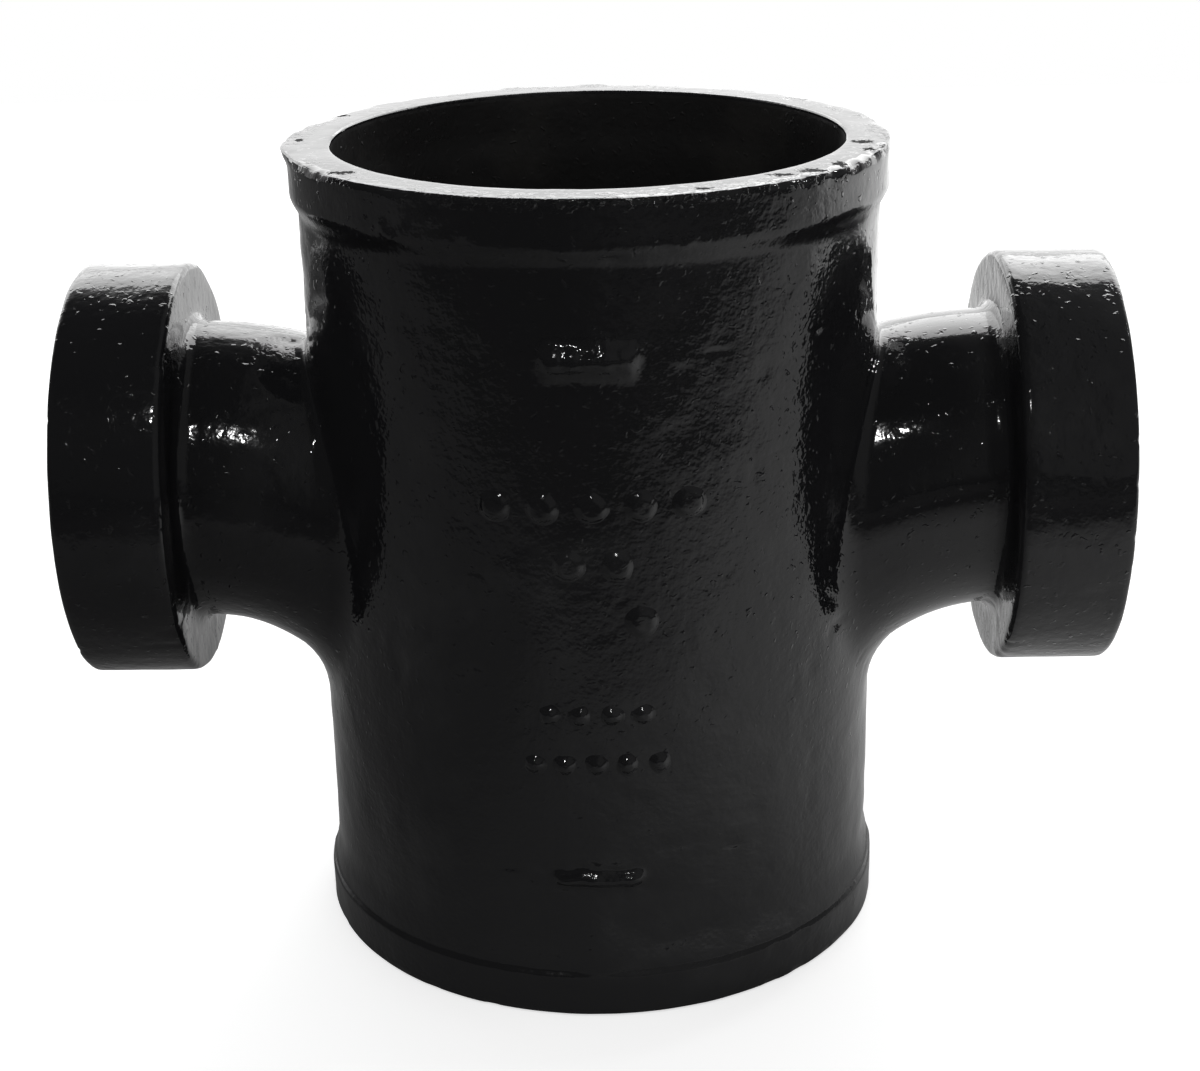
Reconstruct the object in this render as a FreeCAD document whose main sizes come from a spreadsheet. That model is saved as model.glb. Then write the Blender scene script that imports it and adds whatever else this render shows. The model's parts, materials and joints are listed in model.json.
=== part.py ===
import FreeCAD, Part
import os
import Sketcher
from math import pi
from FreeCAD import Placement, Rotation, Vector

# A cast-iron sanitary cross for drain, waste and vent pipe: an upright run with plain
# beaded ends, and two tapped side inlets that face each other.  One casting, one solid.
#
# Own frame, in millimetres: the origin is the centre of the lower end face, +Z runs up the
# run, the two inlets face +X and -X, and the gasket lugs face -Y and +Y.

doc = FreeCAD.newDocument("SanitaryCross")

# Sizes.  Every independent size has its own cell.  What follows from others is worked out
# in the sketches, so a change of one value carries its clearances and cuts along.
sheet = doc.addObject("Spreadsheet::Sheet", "Sizes")
SIZES = [
    ("overall_height", 158.8, "end face to end face of the run"),
    ("run_diameter", 111.2, "outside of the plain barrel"),
    ("run_bore", 98.0, "inside of the run"),
    ("bead_diameter", 114.4, "outside of the bead at each end"),
    ("bead_width", 9.4, "flat part of each bead"),
    ("bead_slope", 2.6, "length of the slope from bead to barrel"),
    ("rim_chamfer", 0.7, "eased outer edge of each end"),
    ("mouth_chamfer", 0.8, "chamfer inside each end"),
    ("branch_height", 93.0, "height of the inlet centre line"),
    ("branch_reach", 100.4, "run centre line to the face of an inlet"),
    ("boss_diameter", 81.6, "outside of the tapped boss"),
    ("boss_length", 21.3, "length of the tapped boss"),
    ("boss_chamfer", 1.2, "eased edges of the boss"),
    ("neck_diameter", 58.8, "outside of the neck behind the boss"),
    ("neck_bore", 50.8, "inside of the neck"),
    ("throat_radius", 30.0, "outside radius under the sweep"),
    ("junction_bevel", 3.5, "sloped valley where a neck meets the barrel"),
    ("neck_foot", 3.0, "sloped foot where a neck meets its boss"),
    ("core_step", 20.0, "turn between two straight lengths of the waterway, in degrees"),
    ("thread_bore", 56.4, "tapping size of the inlet, at the crests"),
    ("thread_chamfer", 2.2, "chamfer at the mouth of the tapping"),
    ("thread_land", 0.5, "land between the cone behind the tapping and the bend"),
    ("lug_height", 4.4, "height of a gasket lug at its foot"),
    ("lug_draft", 0.6, "slope of each lug flank, as a width"),
    ("lug_proud", 2.0, "how far a lug stands off the barrel"),
    ("lug_span", 17.9, "angle that a lug takes, in degrees"),
    ("lug_offset", 28.7, "lug centre to the nearer end face"),
]
for row, (alias, number, words) in enumerate(SIZES, start=1):
    sheet.set("A%d" % row, words)
    sheet.set("B%d" % row, str(number))
    sheet.setAlias("B%d" % row, alias)
doc.recompute()

CASTING = "casting"
body = doc.addObject("PartDesign::Body", "Casting")
body.Label = CASTING
body.Placement = Placement()

# Formulas that several features share.
barrel_r = "Sizes.run_diameter / 2"
bead_r = "Sizes.bead_diameter / 2"
bore_r = "Sizes.run_bore / 2"
height = "Sizes.overall_height"
slope_end = "Sizes.bead_width + Sizes.bead_slope"
boss_plane = "Sizes.branch_reach - Sizes.boss_length"
bend_line = "Sizes.branch_height - Sizes.neck_diameter / 2 - Sizes.throat_radius"

# How a sketch names its own origin point and its two axes.
ORIGIN_POINT = (-1, 1)
X_LINE = -1
Y_LINE = -2

FULL_TURN = 360
QUARTER_TURN = 90
NEAR = 0.01  # how close two measures are when they are taken as the same


def origin_feature(role):
    """The body's own origin plane or axis with this role."""
    return [item for item in body.Origin.OriginFeatures if item.Role == role][0]


def now(formula):
    """The formula's value at the sizes in the sheet."""
    return float(sheet.evalExpression(formula))


def new_sketch(name, role, offset=None):
    """A sketch on one of the body's own planes, moved along its normal by a formula."""
    sketch = body.newObject("Sketcher::SketchObject", name)
    sketch.AttachmentSupport = [(origin_feature(role), "")]
    sketch.MapMode = "FlatFace"
    if offset is not None:
        sketch.AttachmentOffset = Placement(Vector(0, 0, now(offset)), Rotation())
        sketch.setExpression("AttachmentOffset.Base.z", offset)
    return sketch


def size_constraint(sketch, kind, name, formula, *where):
    """A named constraint that follows its formula; lengths are kept positive."""
    nominal = now(formula)
    if nominal < 0:
        where = where[2:] + where[:2]
        formula = "-(" + formula + ")"
        nominal = -nominal
    index = sketch.addConstraint(Sketcher.Constraint(kind, *where, nominal))
    sketch.renameConstraint(index, name)
    sketch.setExpression("Constraints." + name, formula)


def outline(sketch, points, tag="p"):
    """A closed outline of straight edges through points given as pairs of formulas.

    Edges whose ends share a formula are made upright or level; each level or upright that
    is left gets one size, so the outline is fixed once and nothing is said twice.
    """
    count = len(points)
    spots = [Vector(now(x), now(y), 0) for x, y in points]
    first = sketch.GeometryCount
    for i in range(count):
        sketch.addGeometry(Part.LineSegment(spots[i], spots[(i + 1) % count]), False)
    for i in range(count):
        sketch.addConstraint(Sketcher.Constraint(
            "Coincident", first + i, 2, first + (i + 1) % count, 1))
    for side, kind in ((0, "Vertical"), (1, "Horizontal")):
        group = list(range(count))
        for i in range(count):
            j = (i + 1) % count
            if points[i][side] == points[j][side] and group[i] != group[j]:
                sketch.addConstraint(Sketcher.Constraint(kind, first + i))
                old, new = group[j], group[i]
                group = [new if g == old else g for g in group]
        done = set()
        for i in range(count):
            if group[i] in done:
                continue
            done.add(group[i])
            formula = points[i][side]
            if formula == "0":
                line = Y_LINE if side == 0 else X_LINE
                sketch.addConstraint(Sketcher.Constraint("PointOnObject", first + i, 1, line))
            else:
                size_constraint(sketch, "DistanceX" if side == 0 else "DistanceY",
                                "%s%d%s" % (tag, i, "across" if side == 0 else "up"),
                                formula, *ORIGIN_POINT, first + i, 1)


def circle(sketch, up, diameter):
    """A circle on the sketch's upright axis, its height and diameter given as formulas."""
    index = sketch.addGeometry(Part.Circle(
        Vector(0, now(up), 0), Vector(0, 0, 1), now(diameter) / 2), False)
    sketch.addConstraint(Sketcher.Constraint("PointOnObject", index, 3, Y_LINE))
    size_constraint(sketch, "DistanceY", "up", up, *ORIGIN_POINT, index, 3)
    size_constraint(sketch, "Diameter", "wide", diameter, index)


def two_halves(sketch, up, diameter):
    """A round outline on the sketch's upright axis, drawn as an upper and a lower half."""
    radius = now(diameter) / 2
    ring = Part.Circle(Vector(0, now(up), 0), Vector(0, 0, 1), radius)
    upper = sketch.addGeometry(Part.ArcOfCircle(ring, 0, pi), False)
    lower = sketch.addGeometry(Part.ArcOfCircle(ring, pi, 2 * pi), False)
    sketch.addConstraint(Sketcher.Constraint("PointOnObject", upper, 3, Y_LINE))
    sketch.addConstraint(Sketcher.Constraint("Horizontal", upper, 1, upper, 3))
    sketch.addConstraint(Sketcher.Constraint("Horizontal", upper, 2, upper, 3))
    sketch.addConstraint(Sketcher.Constraint("Coincident", upper, 2, lower, 1))
    sketch.addConstraint(Sketcher.Constraint("Coincident", lower, 2, upper, 1))
    sketch.addConstraint(Sketcher.Constraint("Horizontal", lower, 3, upper, 3))
    size_constraint(sketch, "DistanceY", "up", up, *ORIGIN_POINT, upper, 3)
    size_constraint(sketch, "Diameter", "wide", diameter, upper)


def turning_line(sketch, up):
    """A level construction line at this height, used as the axis of a turned shape."""
    level = now(up)
    index = sketch.addGeometry(
        Part.LineSegment(Vector(0, level, 0), Vector(now(bore_r), level, 0)), True)
    sketch.addConstraint(Sketcher.Constraint("Horizontal", index))
    sketch.addConstraint(Sketcher.Constraint("PointOnObject", index, 1, Y_LINE))
    size_constraint(sketch, "DistanceY", "axisup", up, *ORIGIN_POINT, index, 1)
    size_constraint(sketch, "DistanceX", "axisdrawn", bore_r, index, 1, index, 2)


def turned(kind, name, sketch, axis, angle, reverse=False, middle=False):
    """A shape added or cut by turning a sketch about an axis."""
    feature = body.newObject(kind, name)
    feature.Profile = (sketch, [""])
    feature.ReferenceAxis = axis
    feature.Midplane = middle
    feature.Reversed = reverse
    if isinstance(angle, str):
        feature.Angle = now(angle)
        feature.setExpression("Angle", angle)
    else:
        feature.Angle = angle
    sketch.Visibility = False
    return feature


def mirrored(name, originals, role):
    """The same features again on the other side of one of the body's planes."""
    feature = body.newObject("PartDesign::Mirrored", name)
    feature.Originals = originals
    feature.MirrorPlane = (origin_feature(role), [""])
    body.Tip = feature
    return feature


def bevelled(name, base, edges, formula):
    """A chamfer on the edges named, with its size given as a formula."""
    feature = body.newObject("PartDesign::Chamfer", name)
    feature.Base = (base, edges)
    feature.Size = now(formula)
    feature.setExpression("Size", formula)
    body.Tip = feature
    doc.recompute()
    return feature


def edges_where(shape, test):
    """Names of the edges that pass a test on the edge and its middle point."""
    names = []
    for number, edge in enumerate(shape.Edges, start=1):
        middle = edge.valueAt((edge.FirstParameter + edge.LastParameter) / 2)
        if test(edge, middle):
            names.append("Edge%d" % number)
    return names


def same(one, other):
    """True for two measures that are the same within NEAR."""
    return abs(one - other) < NEAR


def is_circle(edge, radius, axis):
    """True for a round edge of this radius that is square to the axis."""
    curve = edge.Curve
    return (isinstance(curve, Part.Circle) and same(curve.Radius, radius)
            and curve.Axis.cross(axis).Length < NEAR)


# The run.  A turned profile: bead, slope, barrel, slope, bead.  Its seam is at the back.
run_outline = new_sketch("RunOutline", "YZ_Plane")
outline(run_outline, [
    ("0", "0"),
    (bead_r, "0"),
    (bead_r, "Sizes.bead_width"),
    (barrel_r, slope_end),
    (barrel_r, height + " - (" + slope_end + ")"),
    (bead_r, height + " - Sizes.bead_width"),
    (bead_r, height),
    ("0", height),
])
run = turned("PartDesign::Revolution", "Run", run_outline, (run_outline, ["V_Axis"]),
             FULL_TURN)

# One branch.  The neck leaves the boss level and bends down into the run, so its shape is
# a round section turned about a level line below the neck; the bend is the sweep that
# carries the flow downwards.  Its seams lie along its sides.  The boss is a plain round
# block on the same centre line.
neck_outline = new_sketch("NeckOutline", "YZ_Plane", boss_plane)
two_halves(neck_outline, "Sizes.branch_height", "Sizes.neck_diameter")
turning_line(neck_outline, bend_line)
neck = turned("PartDesign::Revolution", "Neck", neck_outline,
              (neck_outline, ["Axis0"]), QUARTER_TURN, reverse=True)

boss_outline = new_sketch("BossOutline", "YZ_Plane", boss_plane)
circle(boss_outline, "Sizes.branch_height", "Sizes.boss_diameter")
boss = body.newObject("PartDesign::Pad", "Boss")
boss.Profile = (boss_outline, [""])
boss.Length = now("Sizes.boss_length")
boss.setExpression("Length", "Sizes.boss_length")
boss_outline.Visibility = False
branches = mirrored("Branches", [neck, boss], "YZ_Plane")
doc.recompute()

# Bevels of the casting's outside: the valleys first, then the edges.
up_axis = Vector(0, 0, 1)
side_axis = Vector(1, 0, 0)
tall = now(height)


def on_junction(edge, middle):
    off_axis = (middle.x ** 2 + middle.y ** 2) ** 0.5
    return (same(off_axis, now(barrel_r)) and abs(middle.x) > abs(middle.y)
            and not isinstance(edge.Curve, (Part.Circle, Part.Line)))


def on_neck_foot(edge, middle):
    return is_circle(edge, now("Sizes.neck_diameter / 2"), side_axis)


def on_boss_edge(edge, middle):
    return is_circle(edge, now("Sizes.boss_diameter / 2"), side_axis)


def on_rim(edge, middle):
    return (is_circle(edge, now(bead_r), up_axis)
            and (same(middle.z, 0) or same(middle.z, tall)))


junction = bevelled("Junction", branches, edges_where(branches.Shape, on_junction),
                    "Sizes.junction_bevel")
neck_feet = bevelled("NeckFeet", junction, edges_where(junction.Shape, on_neck_foot),
                     "Sizes.neck_foot")
boss_edges = bevelled("BossEdges", neck_feet, edges_where(neck_feet.Shape, on_boss_edge),
                      "Sizes.boss_chamfer")
rims = bevelled("Rims", boss_edges, edges_where(boss_edges.Shape, on_rim),
                "Sizes.rim_chamfer")

# Gasket lugs: short raised bars, front and back, that show how far a coupling slides on.
# They follow the barrel, so each is a small outline turned through a few degrees.
lug_outline = new_sketch("LugOutline", "YZ_Plane")
lug_foot = "-(" + barrel_r + " + " + bore_r + ") / 2"
lug_crown = "-(" + barrel_r + " + Sizes.lug_proud)"
for tag, centre in (("low", "Sizes.lug_offset"), ("top", height + " - Sizes.lug_offset")):
    half = "Sizes.lug_height / 2"
    outline(lug_outline, [
        (lug_foot, centre + " - " + half),
        (lug_crown, centre + " - " + half + " + Sizes.lug_draft"),
        (lug_crown, centre + " + " + half + " - Sizes.lug_draft"),
        (lug_foot, centre + " + " + half),
    ], tag)
lugs = turned("PartDesign::Revolution", "FrontLugs", lug_outline, (lug_outline, ["V_Axis"]),
              "Sizes.lug_span", middle=True)
all_lugs = mirrored("Lugs", [lugs], "XZ_Plane")
doc.recompute()

# The bore of the run, with a small chamfer inside each end.
bore_outline = new_sketch("BoreOutline", "YZ_Plane")
mouth_r = bore_r + " + Sizes.mouth_chamfer"
outline(bore_outline, [
    ("0", "0"),
    (mouth_r, "0"),
    (bore_r, "Sizes.mouth_chamfer"),
    (bore_r, height + " - Sizes.mouth_chamfer"),
    (mouth_r, height),
    ("0", height),
])
bore = turned("PartDesign::Groove", "Bore", bore_outline, (bore_outline, ["V_Axis"]),
              FULL_TURN)

# The waterway of one branch follows the bend of the neck in straight lengths, each one step
# steeper than the one before.  A length is a round bore with a ball end, so two lengths
# meet in a smooth ball corner.  The corners lie just outside the bend's centre line.
sweep = "(Sizes.throat_radius + Sizes.neck_diameter / 2)"
lead = "(" + sweep + " * tan(Sizes.core_step / 2))"
first_x = boss_plane + " - " + lead
first_z = "Sizes.branch_height"
second_x = first_x + " - 2 * " + lead + " * cos(Sizes.core_step)"
second_z = first_z + " - 2 * " + lead + " * sin(Sizes.core_step)"


def falling_bore(name, x, z, slope, length):
    """A ball-ended bore from a corner, falling towards the run at the slope given."""
    sketch = new_sketch(name + "Outline", "XZ_Plane")
    turn = "180 + " + slope
    spin = Rotation(Vector(0, 0, 1), now(turn))
    sketch.AttachmentOffset = Placement(Vector(now(x), now(z), 0), spin)
    sketch.setExpression("AttachmentOffset.Base.x", x)
    sketch.setExpression("AttachmentOffset.Base.y", z)
    sketch.setExpression("AttachmentOffset.Rotation.Angle", turn)
    radius = now("Sizes.neck_bore / 2")
    reach = now(length)
    ball = sketch.addGeometry(Part.ArcOfCircle(
        Part.Circle(Vector(0, 0, 0), Vector(0, 0, 1), radius), pi / 2, pi), False)
    side = sketch.addGeometry(
        Part.LineSegment(Vector(0, radius, 0), Vector(reach, radius, 0)), False)
    end = sketch.addGeometry(
        Part.LineSegment(Vector(reach, radius, 0), Vector(reach, 0, 0)), False)
    middle = sketch.addGeometry(
        Part.LineSegment(Vector(reach, 0, 0), Vector(-radius, 0, 0)), False)
    sketch.addConstraint(Sketcher.Constraint("Coincident", ball, 3, *ORIGIN_POINT))
    sketch.addConstraint(Sketcher.Constraint("Tangent", ball, 1, side, 1))
    sketch.addConstraint(Sketcher.Constraint("Coincident", side, 2, end, 1))
    sketch.addConstraint(Sketcher.Constraint("Coincident", end, 2, middle, 1))
    sketch.addConstraint(Sketcher.Constraint("Coincident", middle, 2, ball, 2))
    sketch.addConstraint(Sketcher.Constraint("Horizontal", side))
    sketch.addConstraint(Sketcher.Constraint("Vertical", end))
    sketch.addConstraint(Sketcher.Constraint("PointOnObject", ball, 2, X_LINE))
    sketch.addConstraint(Sketcher.Constraint("PointOnObject", end, 2, X_LINE))
    size_constraint(sketch, "Radius", "ball", "Sizes.neck_bore / 2", ball)
    size_constraint(sketch, "DistanceX", "long", length, *ORIGIN_POINT, end, 2)
    return turned("PartDesign::Groove", name, sketch, (sketch, ["H_Axis"]), FULL_TURN)


upper_fall = falling_bore("UpperFall", first_x, first_z, "Sizes.core_step", "2 * " + lead)
lower_fall = falling_bore("LowerFall", second_x, second_z, "2 * Sizes.core_step", bore_r)

# The tapping of one inlet: chamfer, tapping size, a cone down to the neck's bore, and the
# level bore up to the first corner.
inlet_line = "Sizes.branch_height"
face = "Sizes.branch_reach"
crest = inlet_line + " + Sizes.thread_bore / 2"
inner = inlet_line + " + Sizes.neck_bore / 2"
cone_end = boss_plane + " + Sizes.thread_land"
cone_run = "(Sizes.thread_bore - Sizes.neck_bore) / 2"
tapping_outline = new_sketch("TappingOutline", "XZ_Plane")
outline(tapping_outline, [
    (face, inlet_line),
    (face, crest + " + Sizes.thread_chamfer"),
    (face + " - Sizes.thread_chamfer", crest),
    (cone_end + " + " + cone_run, crest),
    (cone_end, inner),
    (first_x, inner),
    (first_x, inlet_line),
])
turning_line(tapping_outline, inlet_line)
tapping = turned("PartDesign::Groove", "Tapping", tapping_outline,
                 (tapping_outline, ["Axis0"]), FULL_TURN)

inlets = mirrored("Inlets", [upper_fall, lower_fall, tapping], "YZ_Plane")
doc.recompute()

# Nothing is written unless every feature stands and the casting is one sound solid.
for item in doc.Objects:
    for word in ("Invalid", "Error"):
        if word in item.State:
            raise RuntimeError("%s is %s" % (item.Label, word))
if body.Shape.isNull() or not body.Shape.isValid() or len(body.Shape.Solids) != 1:
    raise RuntimeError("the casting is not one sound solid")

os.makedirs("parts", exist_ok=True)
body.Shape.exportStep("parts/" + body.Label + ".step")
print("casting: %.1f cubic cm" % (body.Shape.Volume / 1000))
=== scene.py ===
# %% [markdown]
# # A cast-iron sanitary cross in a thick black coat
#
# The object is one casting: an upright run with plain beaded ends, and two tapped inlets
# that face each other.  The solid model already gives the sizes.  This lesson builds the
# skin that the eye sees: the eased corners, the swept necks, the cut threads, the chipped
# rim, the pebbled casting and the glossy coat that ran over all of it.

# %% Load the fixed frame
import bpy
import bmesh
import json
import numpy as np
from mathutils import Matrix, Vector

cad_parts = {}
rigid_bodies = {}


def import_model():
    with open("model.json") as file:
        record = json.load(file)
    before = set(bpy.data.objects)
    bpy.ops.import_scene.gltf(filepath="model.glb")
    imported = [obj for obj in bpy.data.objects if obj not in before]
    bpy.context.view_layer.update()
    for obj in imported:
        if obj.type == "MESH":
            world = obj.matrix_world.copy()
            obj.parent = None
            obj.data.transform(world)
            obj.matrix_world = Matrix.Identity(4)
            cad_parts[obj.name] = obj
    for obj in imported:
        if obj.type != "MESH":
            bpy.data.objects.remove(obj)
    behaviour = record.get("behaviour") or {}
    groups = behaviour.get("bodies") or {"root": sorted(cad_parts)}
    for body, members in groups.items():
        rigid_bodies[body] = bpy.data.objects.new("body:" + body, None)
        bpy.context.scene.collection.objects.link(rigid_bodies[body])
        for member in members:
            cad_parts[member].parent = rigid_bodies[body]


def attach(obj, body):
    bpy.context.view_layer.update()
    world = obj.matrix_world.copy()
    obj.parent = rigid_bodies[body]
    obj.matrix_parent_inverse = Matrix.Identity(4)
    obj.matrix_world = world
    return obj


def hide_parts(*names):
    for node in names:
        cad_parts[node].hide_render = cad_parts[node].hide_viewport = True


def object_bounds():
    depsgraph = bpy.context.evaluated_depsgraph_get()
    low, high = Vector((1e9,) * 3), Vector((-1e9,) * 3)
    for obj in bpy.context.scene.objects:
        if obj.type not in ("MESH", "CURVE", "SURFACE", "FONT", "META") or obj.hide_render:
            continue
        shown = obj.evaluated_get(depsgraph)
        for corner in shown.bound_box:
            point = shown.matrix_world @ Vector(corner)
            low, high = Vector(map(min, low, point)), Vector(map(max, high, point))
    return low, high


for spare in list(bpy.data.objects):
    bpy.data.objects.remove(spare)
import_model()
cad_box = [list(corner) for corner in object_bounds()]
print("solid model's box in metres:", cad_box)

# %% [markdown]
# ## The camera
#
# A product photograph is matched by its camera first.  The place, the tilt and the focal
# length were worked out from the ends of the run, whose round edges show as two ovals.
# They could be set by eye, but a fitted camera lets every later measure be checked.

# %% Camera
MM = 0.001
CAMERA_AT = np.array([5.072, -423.701, 238.267]) * MM
CAMERA_YAW, CAMERA_PITCH, CAMERA_ROLL = -0.0100, 0.3641, -0.0189
FOCAL_LENGTH = 66.73
SENSOR_WIDTH = 36.0

forward = np.array([np.sin(CAMERA_YAW) * np.cos(CAMERA_PITCH),
                    np.cos(CAMERA_YAW) * np.cos(CAMERA_PITCH),
                    -np.sin(CAMERA_PITCH)])
level = np.array([np.cos(CAMERA_YAW), -np.sin(CAMERA_YAW), 0.0])
upright = np.cross(level, forward)
right = np.cos(CAMERA_ROLL) * level + np.sin(CAMERA_ROLL) * upright
above = -np.sin(CAMERA_ROLL) * level + np.cos(CAMERA_ROLL) * upright

lens = bpy.data.cameras.new("product_camera")
lens.lens = FOCAL_LENGTH
lens.sensor_fit = "HORIZONTAL"
lens.sensor_width = SENSOR_WIDTH
lens.clip_start = 0.01
camera = bpy.data.objects.new("product_camera", lens)
bpy.context.collection.objects.link(camera)
turn = Matrix(np.column_stack([right, above, -forward]).tolist()).to_4x4()
camera.matrix_world = Matrix.Translation(Vector(CAMERA_AT)) @ turn
bpy.context.scene.camera = camera
print("camera looks along", np.round(forward, 3))

# %% [markdown]
# ## Sizes of the casting
#
# The numbers are the solid model's, in millimetres.  The eased corners are added here,
# because a casting has no sharp edge: the pattern must leave the sand, and iron does not
# fill a sharp corner.

# %% Sizes
HEIGHT = 158.8
BARREL_R, BEAD_R, BORE_R = 55.6, 57.2, 49.0
BEAD_WIDTH, SLOPE_END = 9.4, 12.7
INLET_Z, REACH, BOSS_X = 93.0, 100.4, 79.1
BOSS_R, NECK_R, WATERWAY_R = 40.8, 29.4, 25.4
BEND_R, BEND_Z = 59.4, 33.6
LUG_HALF_WIDTH, LUG_HALF_HEIGHT, LUG_PROUD, LUG_IN = 8.7, 2.2, 1.85, 28.7
print("run:", HEIGHT, "mm high and", 2 * BEAD_R, "mm over its beads")

# %% [markdown]
# ## Helpers: smooth steps, relief and rings
#
# Three small tools carry the whole lesson.  A smooth step fades one thing into another.
# A lattice relief gives the waviness of a cast skin: random heights on a cubic lattice,
# blended between, so that it is the same on every run.  A corner arc eases a corner
# between two rings of points.

# %% Helpers
def smooth_step(low, high, value):
    """0 below low, 1 above high, and the curve 3t^2 - 2t^3 between."""
    t = np.clip((value - low) / (high - low), 0.0, 1.0)
    return t * t * (3.0 - 2.0 * t)


def relief(points, size, seed):
    """Smooth random heights from -1 to 1 with hills about one size across.

    The point is divided by the size; each of the eight lattice corners round it has a
    random height, found through a shuffled table, and smooth steps blend the eight.
    """
    shuffle = np.random.default_rng(seed).permutation(256)
    heights = np.random.default_rng(seed + 1).uniform(-1.0, 1.0, 256)
    scaled = points / size
    cell = np.floor(scaled).astype(int)
    t = scaled - cell
    t = t * t * (3.0 - 2.0 * t)
    total = np.zeros(len(points))
    for dx in (0, 1):
        for dy in (0, 1):
            for dz in (0, 1):
                i = shuffle[(cell[:, 0] + dx) & 255]
                j = shuffle[(i + cell[:, 1] + dy) & 255]
                k = shuffle[(j + cell[:, 2] + dz) & 255]
                share = (np.where(dx, t[:, 0], 1 - t[:, 0])
                         * np.where(dy, t[:, 1], 1 - t[:, 1])
                         * np.where(dz, t[:, 2], 1 - t[:, 2]))
                total += share * heights[k]
    return total


def corner_arc(start, corner, end, steps):
    """Rings from start to end that bend round the corner, without the start ring.

    Each point moves on a parabola: (1-t)^2 start + 2t(1-t) corner + t^2 end.
    """
    t = np.linspace(0.0, 1.0, steps + 1)[1:, None, None]
    return list((1 - t) ** 2 * start + 2 * t * (1 - t) * corner + t ** 2 * end)


def straight(start, end, steps):
    """Rings on straight lines from start to end, without the start ring."""
    t = np.linspace(0.0, 1.0, steps + 1)[1:, None, None]
    return list((1 - t) * start + t * end)


# %% [markdown]
# ## A basket for the patches
#
# The skin has parts of different kinds: a wall with two windows, rings that run out along
# the inlets, threads, and a bore.  Each is computed as its own grid of points.  All grids
# go into one basket with their faces, and points that lie on each other are merged at the
# end.  One could model the parts as separate objects and join them with a boolean, but
# matched grids give even faces and clean corners.

# %% Basket
basket_points, basket_faces, basket_size = [], [], [0]


def put(points, faces):
    """Adds points and faces to the basket and returns the number of the first point."""
    first = basket_size[0]
    basket_points.append(points.reshape(-1, 3))
    basket_faces.append(faces + first)
    basket_size[0] += points.size // 3
    return first


def grid_faces(rows, columns, closed):
    """Four-cornered faces of a grid; a closed grid joins its last column to its first."""
    wide = columns if closed else columns - 1
    i, k = np.meshgrid(np.arange(rows - 1), np.arange(wide), indexing="ij")
    after = (k + 1) % columns
    return np.stack([i * columns + k, i * columns + after,
                     (i + 1) * columns + after, (i + 1) * columns + k], -1).reshape(-1, 4)


def halving_faces(fine_first, coarse_first, coarse_count):
    """Three triangles for each coarse edge, which join it to two fine edges."""
    k = np.arange(coarse_count)
    c0, c1 = coarse_first + k, coarse_first + (k + 1) % coarse_count
    f0, f1 = fine_first + 2 * k, fine_first + 2 * k + 1
    f2 = fine_first + (2 * k + 2) % (2 * coarse_count)
    return np.concatenate([np.stack([c0, f0, f1, f1], -1), np.stack([c0, f1, c1, c1], -1),
                           np.stack([c1, f1, f2, f2], -1)])


# %% [markdown]
# ## The wall of the run
#
# On the real piece this is the barrel with a bead at each end.  Its skin is a radius that
# depends on the height and the turn: barrel, bead, the slope between, and four gasket
# lugs.  The grid is finest in front, and it leaves a window open round each neck.

# %% Columns and rows of the wall
WINDOW_HALF = np.radians(41.0)
FRONT_CELLS, WINDOW_CELLS, BACK_CELLS = 112, 56, 56
WINDOW_LOW, WINDOW_HIGH, WINDOW_ROWS = 41.0, 128.0, 60
QUARTER = np.pi / 2


def spaced(spans):
    """Levels through (start, end, steps) spans, with no level said twice."""
    runs = [np.linspace(a, b, n + 1)[:-1] for a, b, n in spans]
    return np.concatenate(runs + [[spans[-1][1]]])


turns = spaced([(-QUARTER + WINDOW_HALF, QUARTER - WINDOW_HALF, FRONT_CELLS),
                (QUARTER - WINDOW_HALF, QUARTER + WINDOW_HALF, WINDOW_CELLS),
                (QUARTER + WINDOW_HALF, 3 * QUARTER - WINDOW_HALF, BACK_CELLS),
                (3 * QUARTER - WINDOW_HALF, 3 * QUARTER + WINDOW_HALF, WINDOW_CELLS)])[:-1]
RIM_EASE = 0.42
low_levels = spaced([(RIM_EASE, 7.6, 6), (7.6, 9.9, 9), (9.9, 17.0, 6), (17.0, 25.0, 5),
                     (25.0, 32.4, 18), (32.4, WINDOW_LOW, 6)])
window_levels = np.linspace(WINDOW_LOW, WINDOW_HIGH, WINDOW_ROWS + 1)
high_levels = HEIGHT - spaced([(RIM_EASE, 7.4, 7), (7.4, 14.2, 9), (14.2, 25.0, 7),
                               (25.0, HEIGHT - WINDOW_HIGH, 14)])[::-1]
levels = np.concatenate([low_levels, window_levels[1:-1], high_levels])
print("wall grid:", len(levels), "rows by", len(turns), "columns")


# %% Radius of the wall
LOW_STEP_SHARE, LOW_FADE_END = 0.45, 16.0
FILLED_HALF_TURN, FILLED_SHARE, FILLED_FADE = 0.09, 0.85, 8.0
UPPER_LUG_FADE, LOWER_LUG_FADE, LOWER_LUG_SHARE = 1.7, -0.2, 0.72


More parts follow.
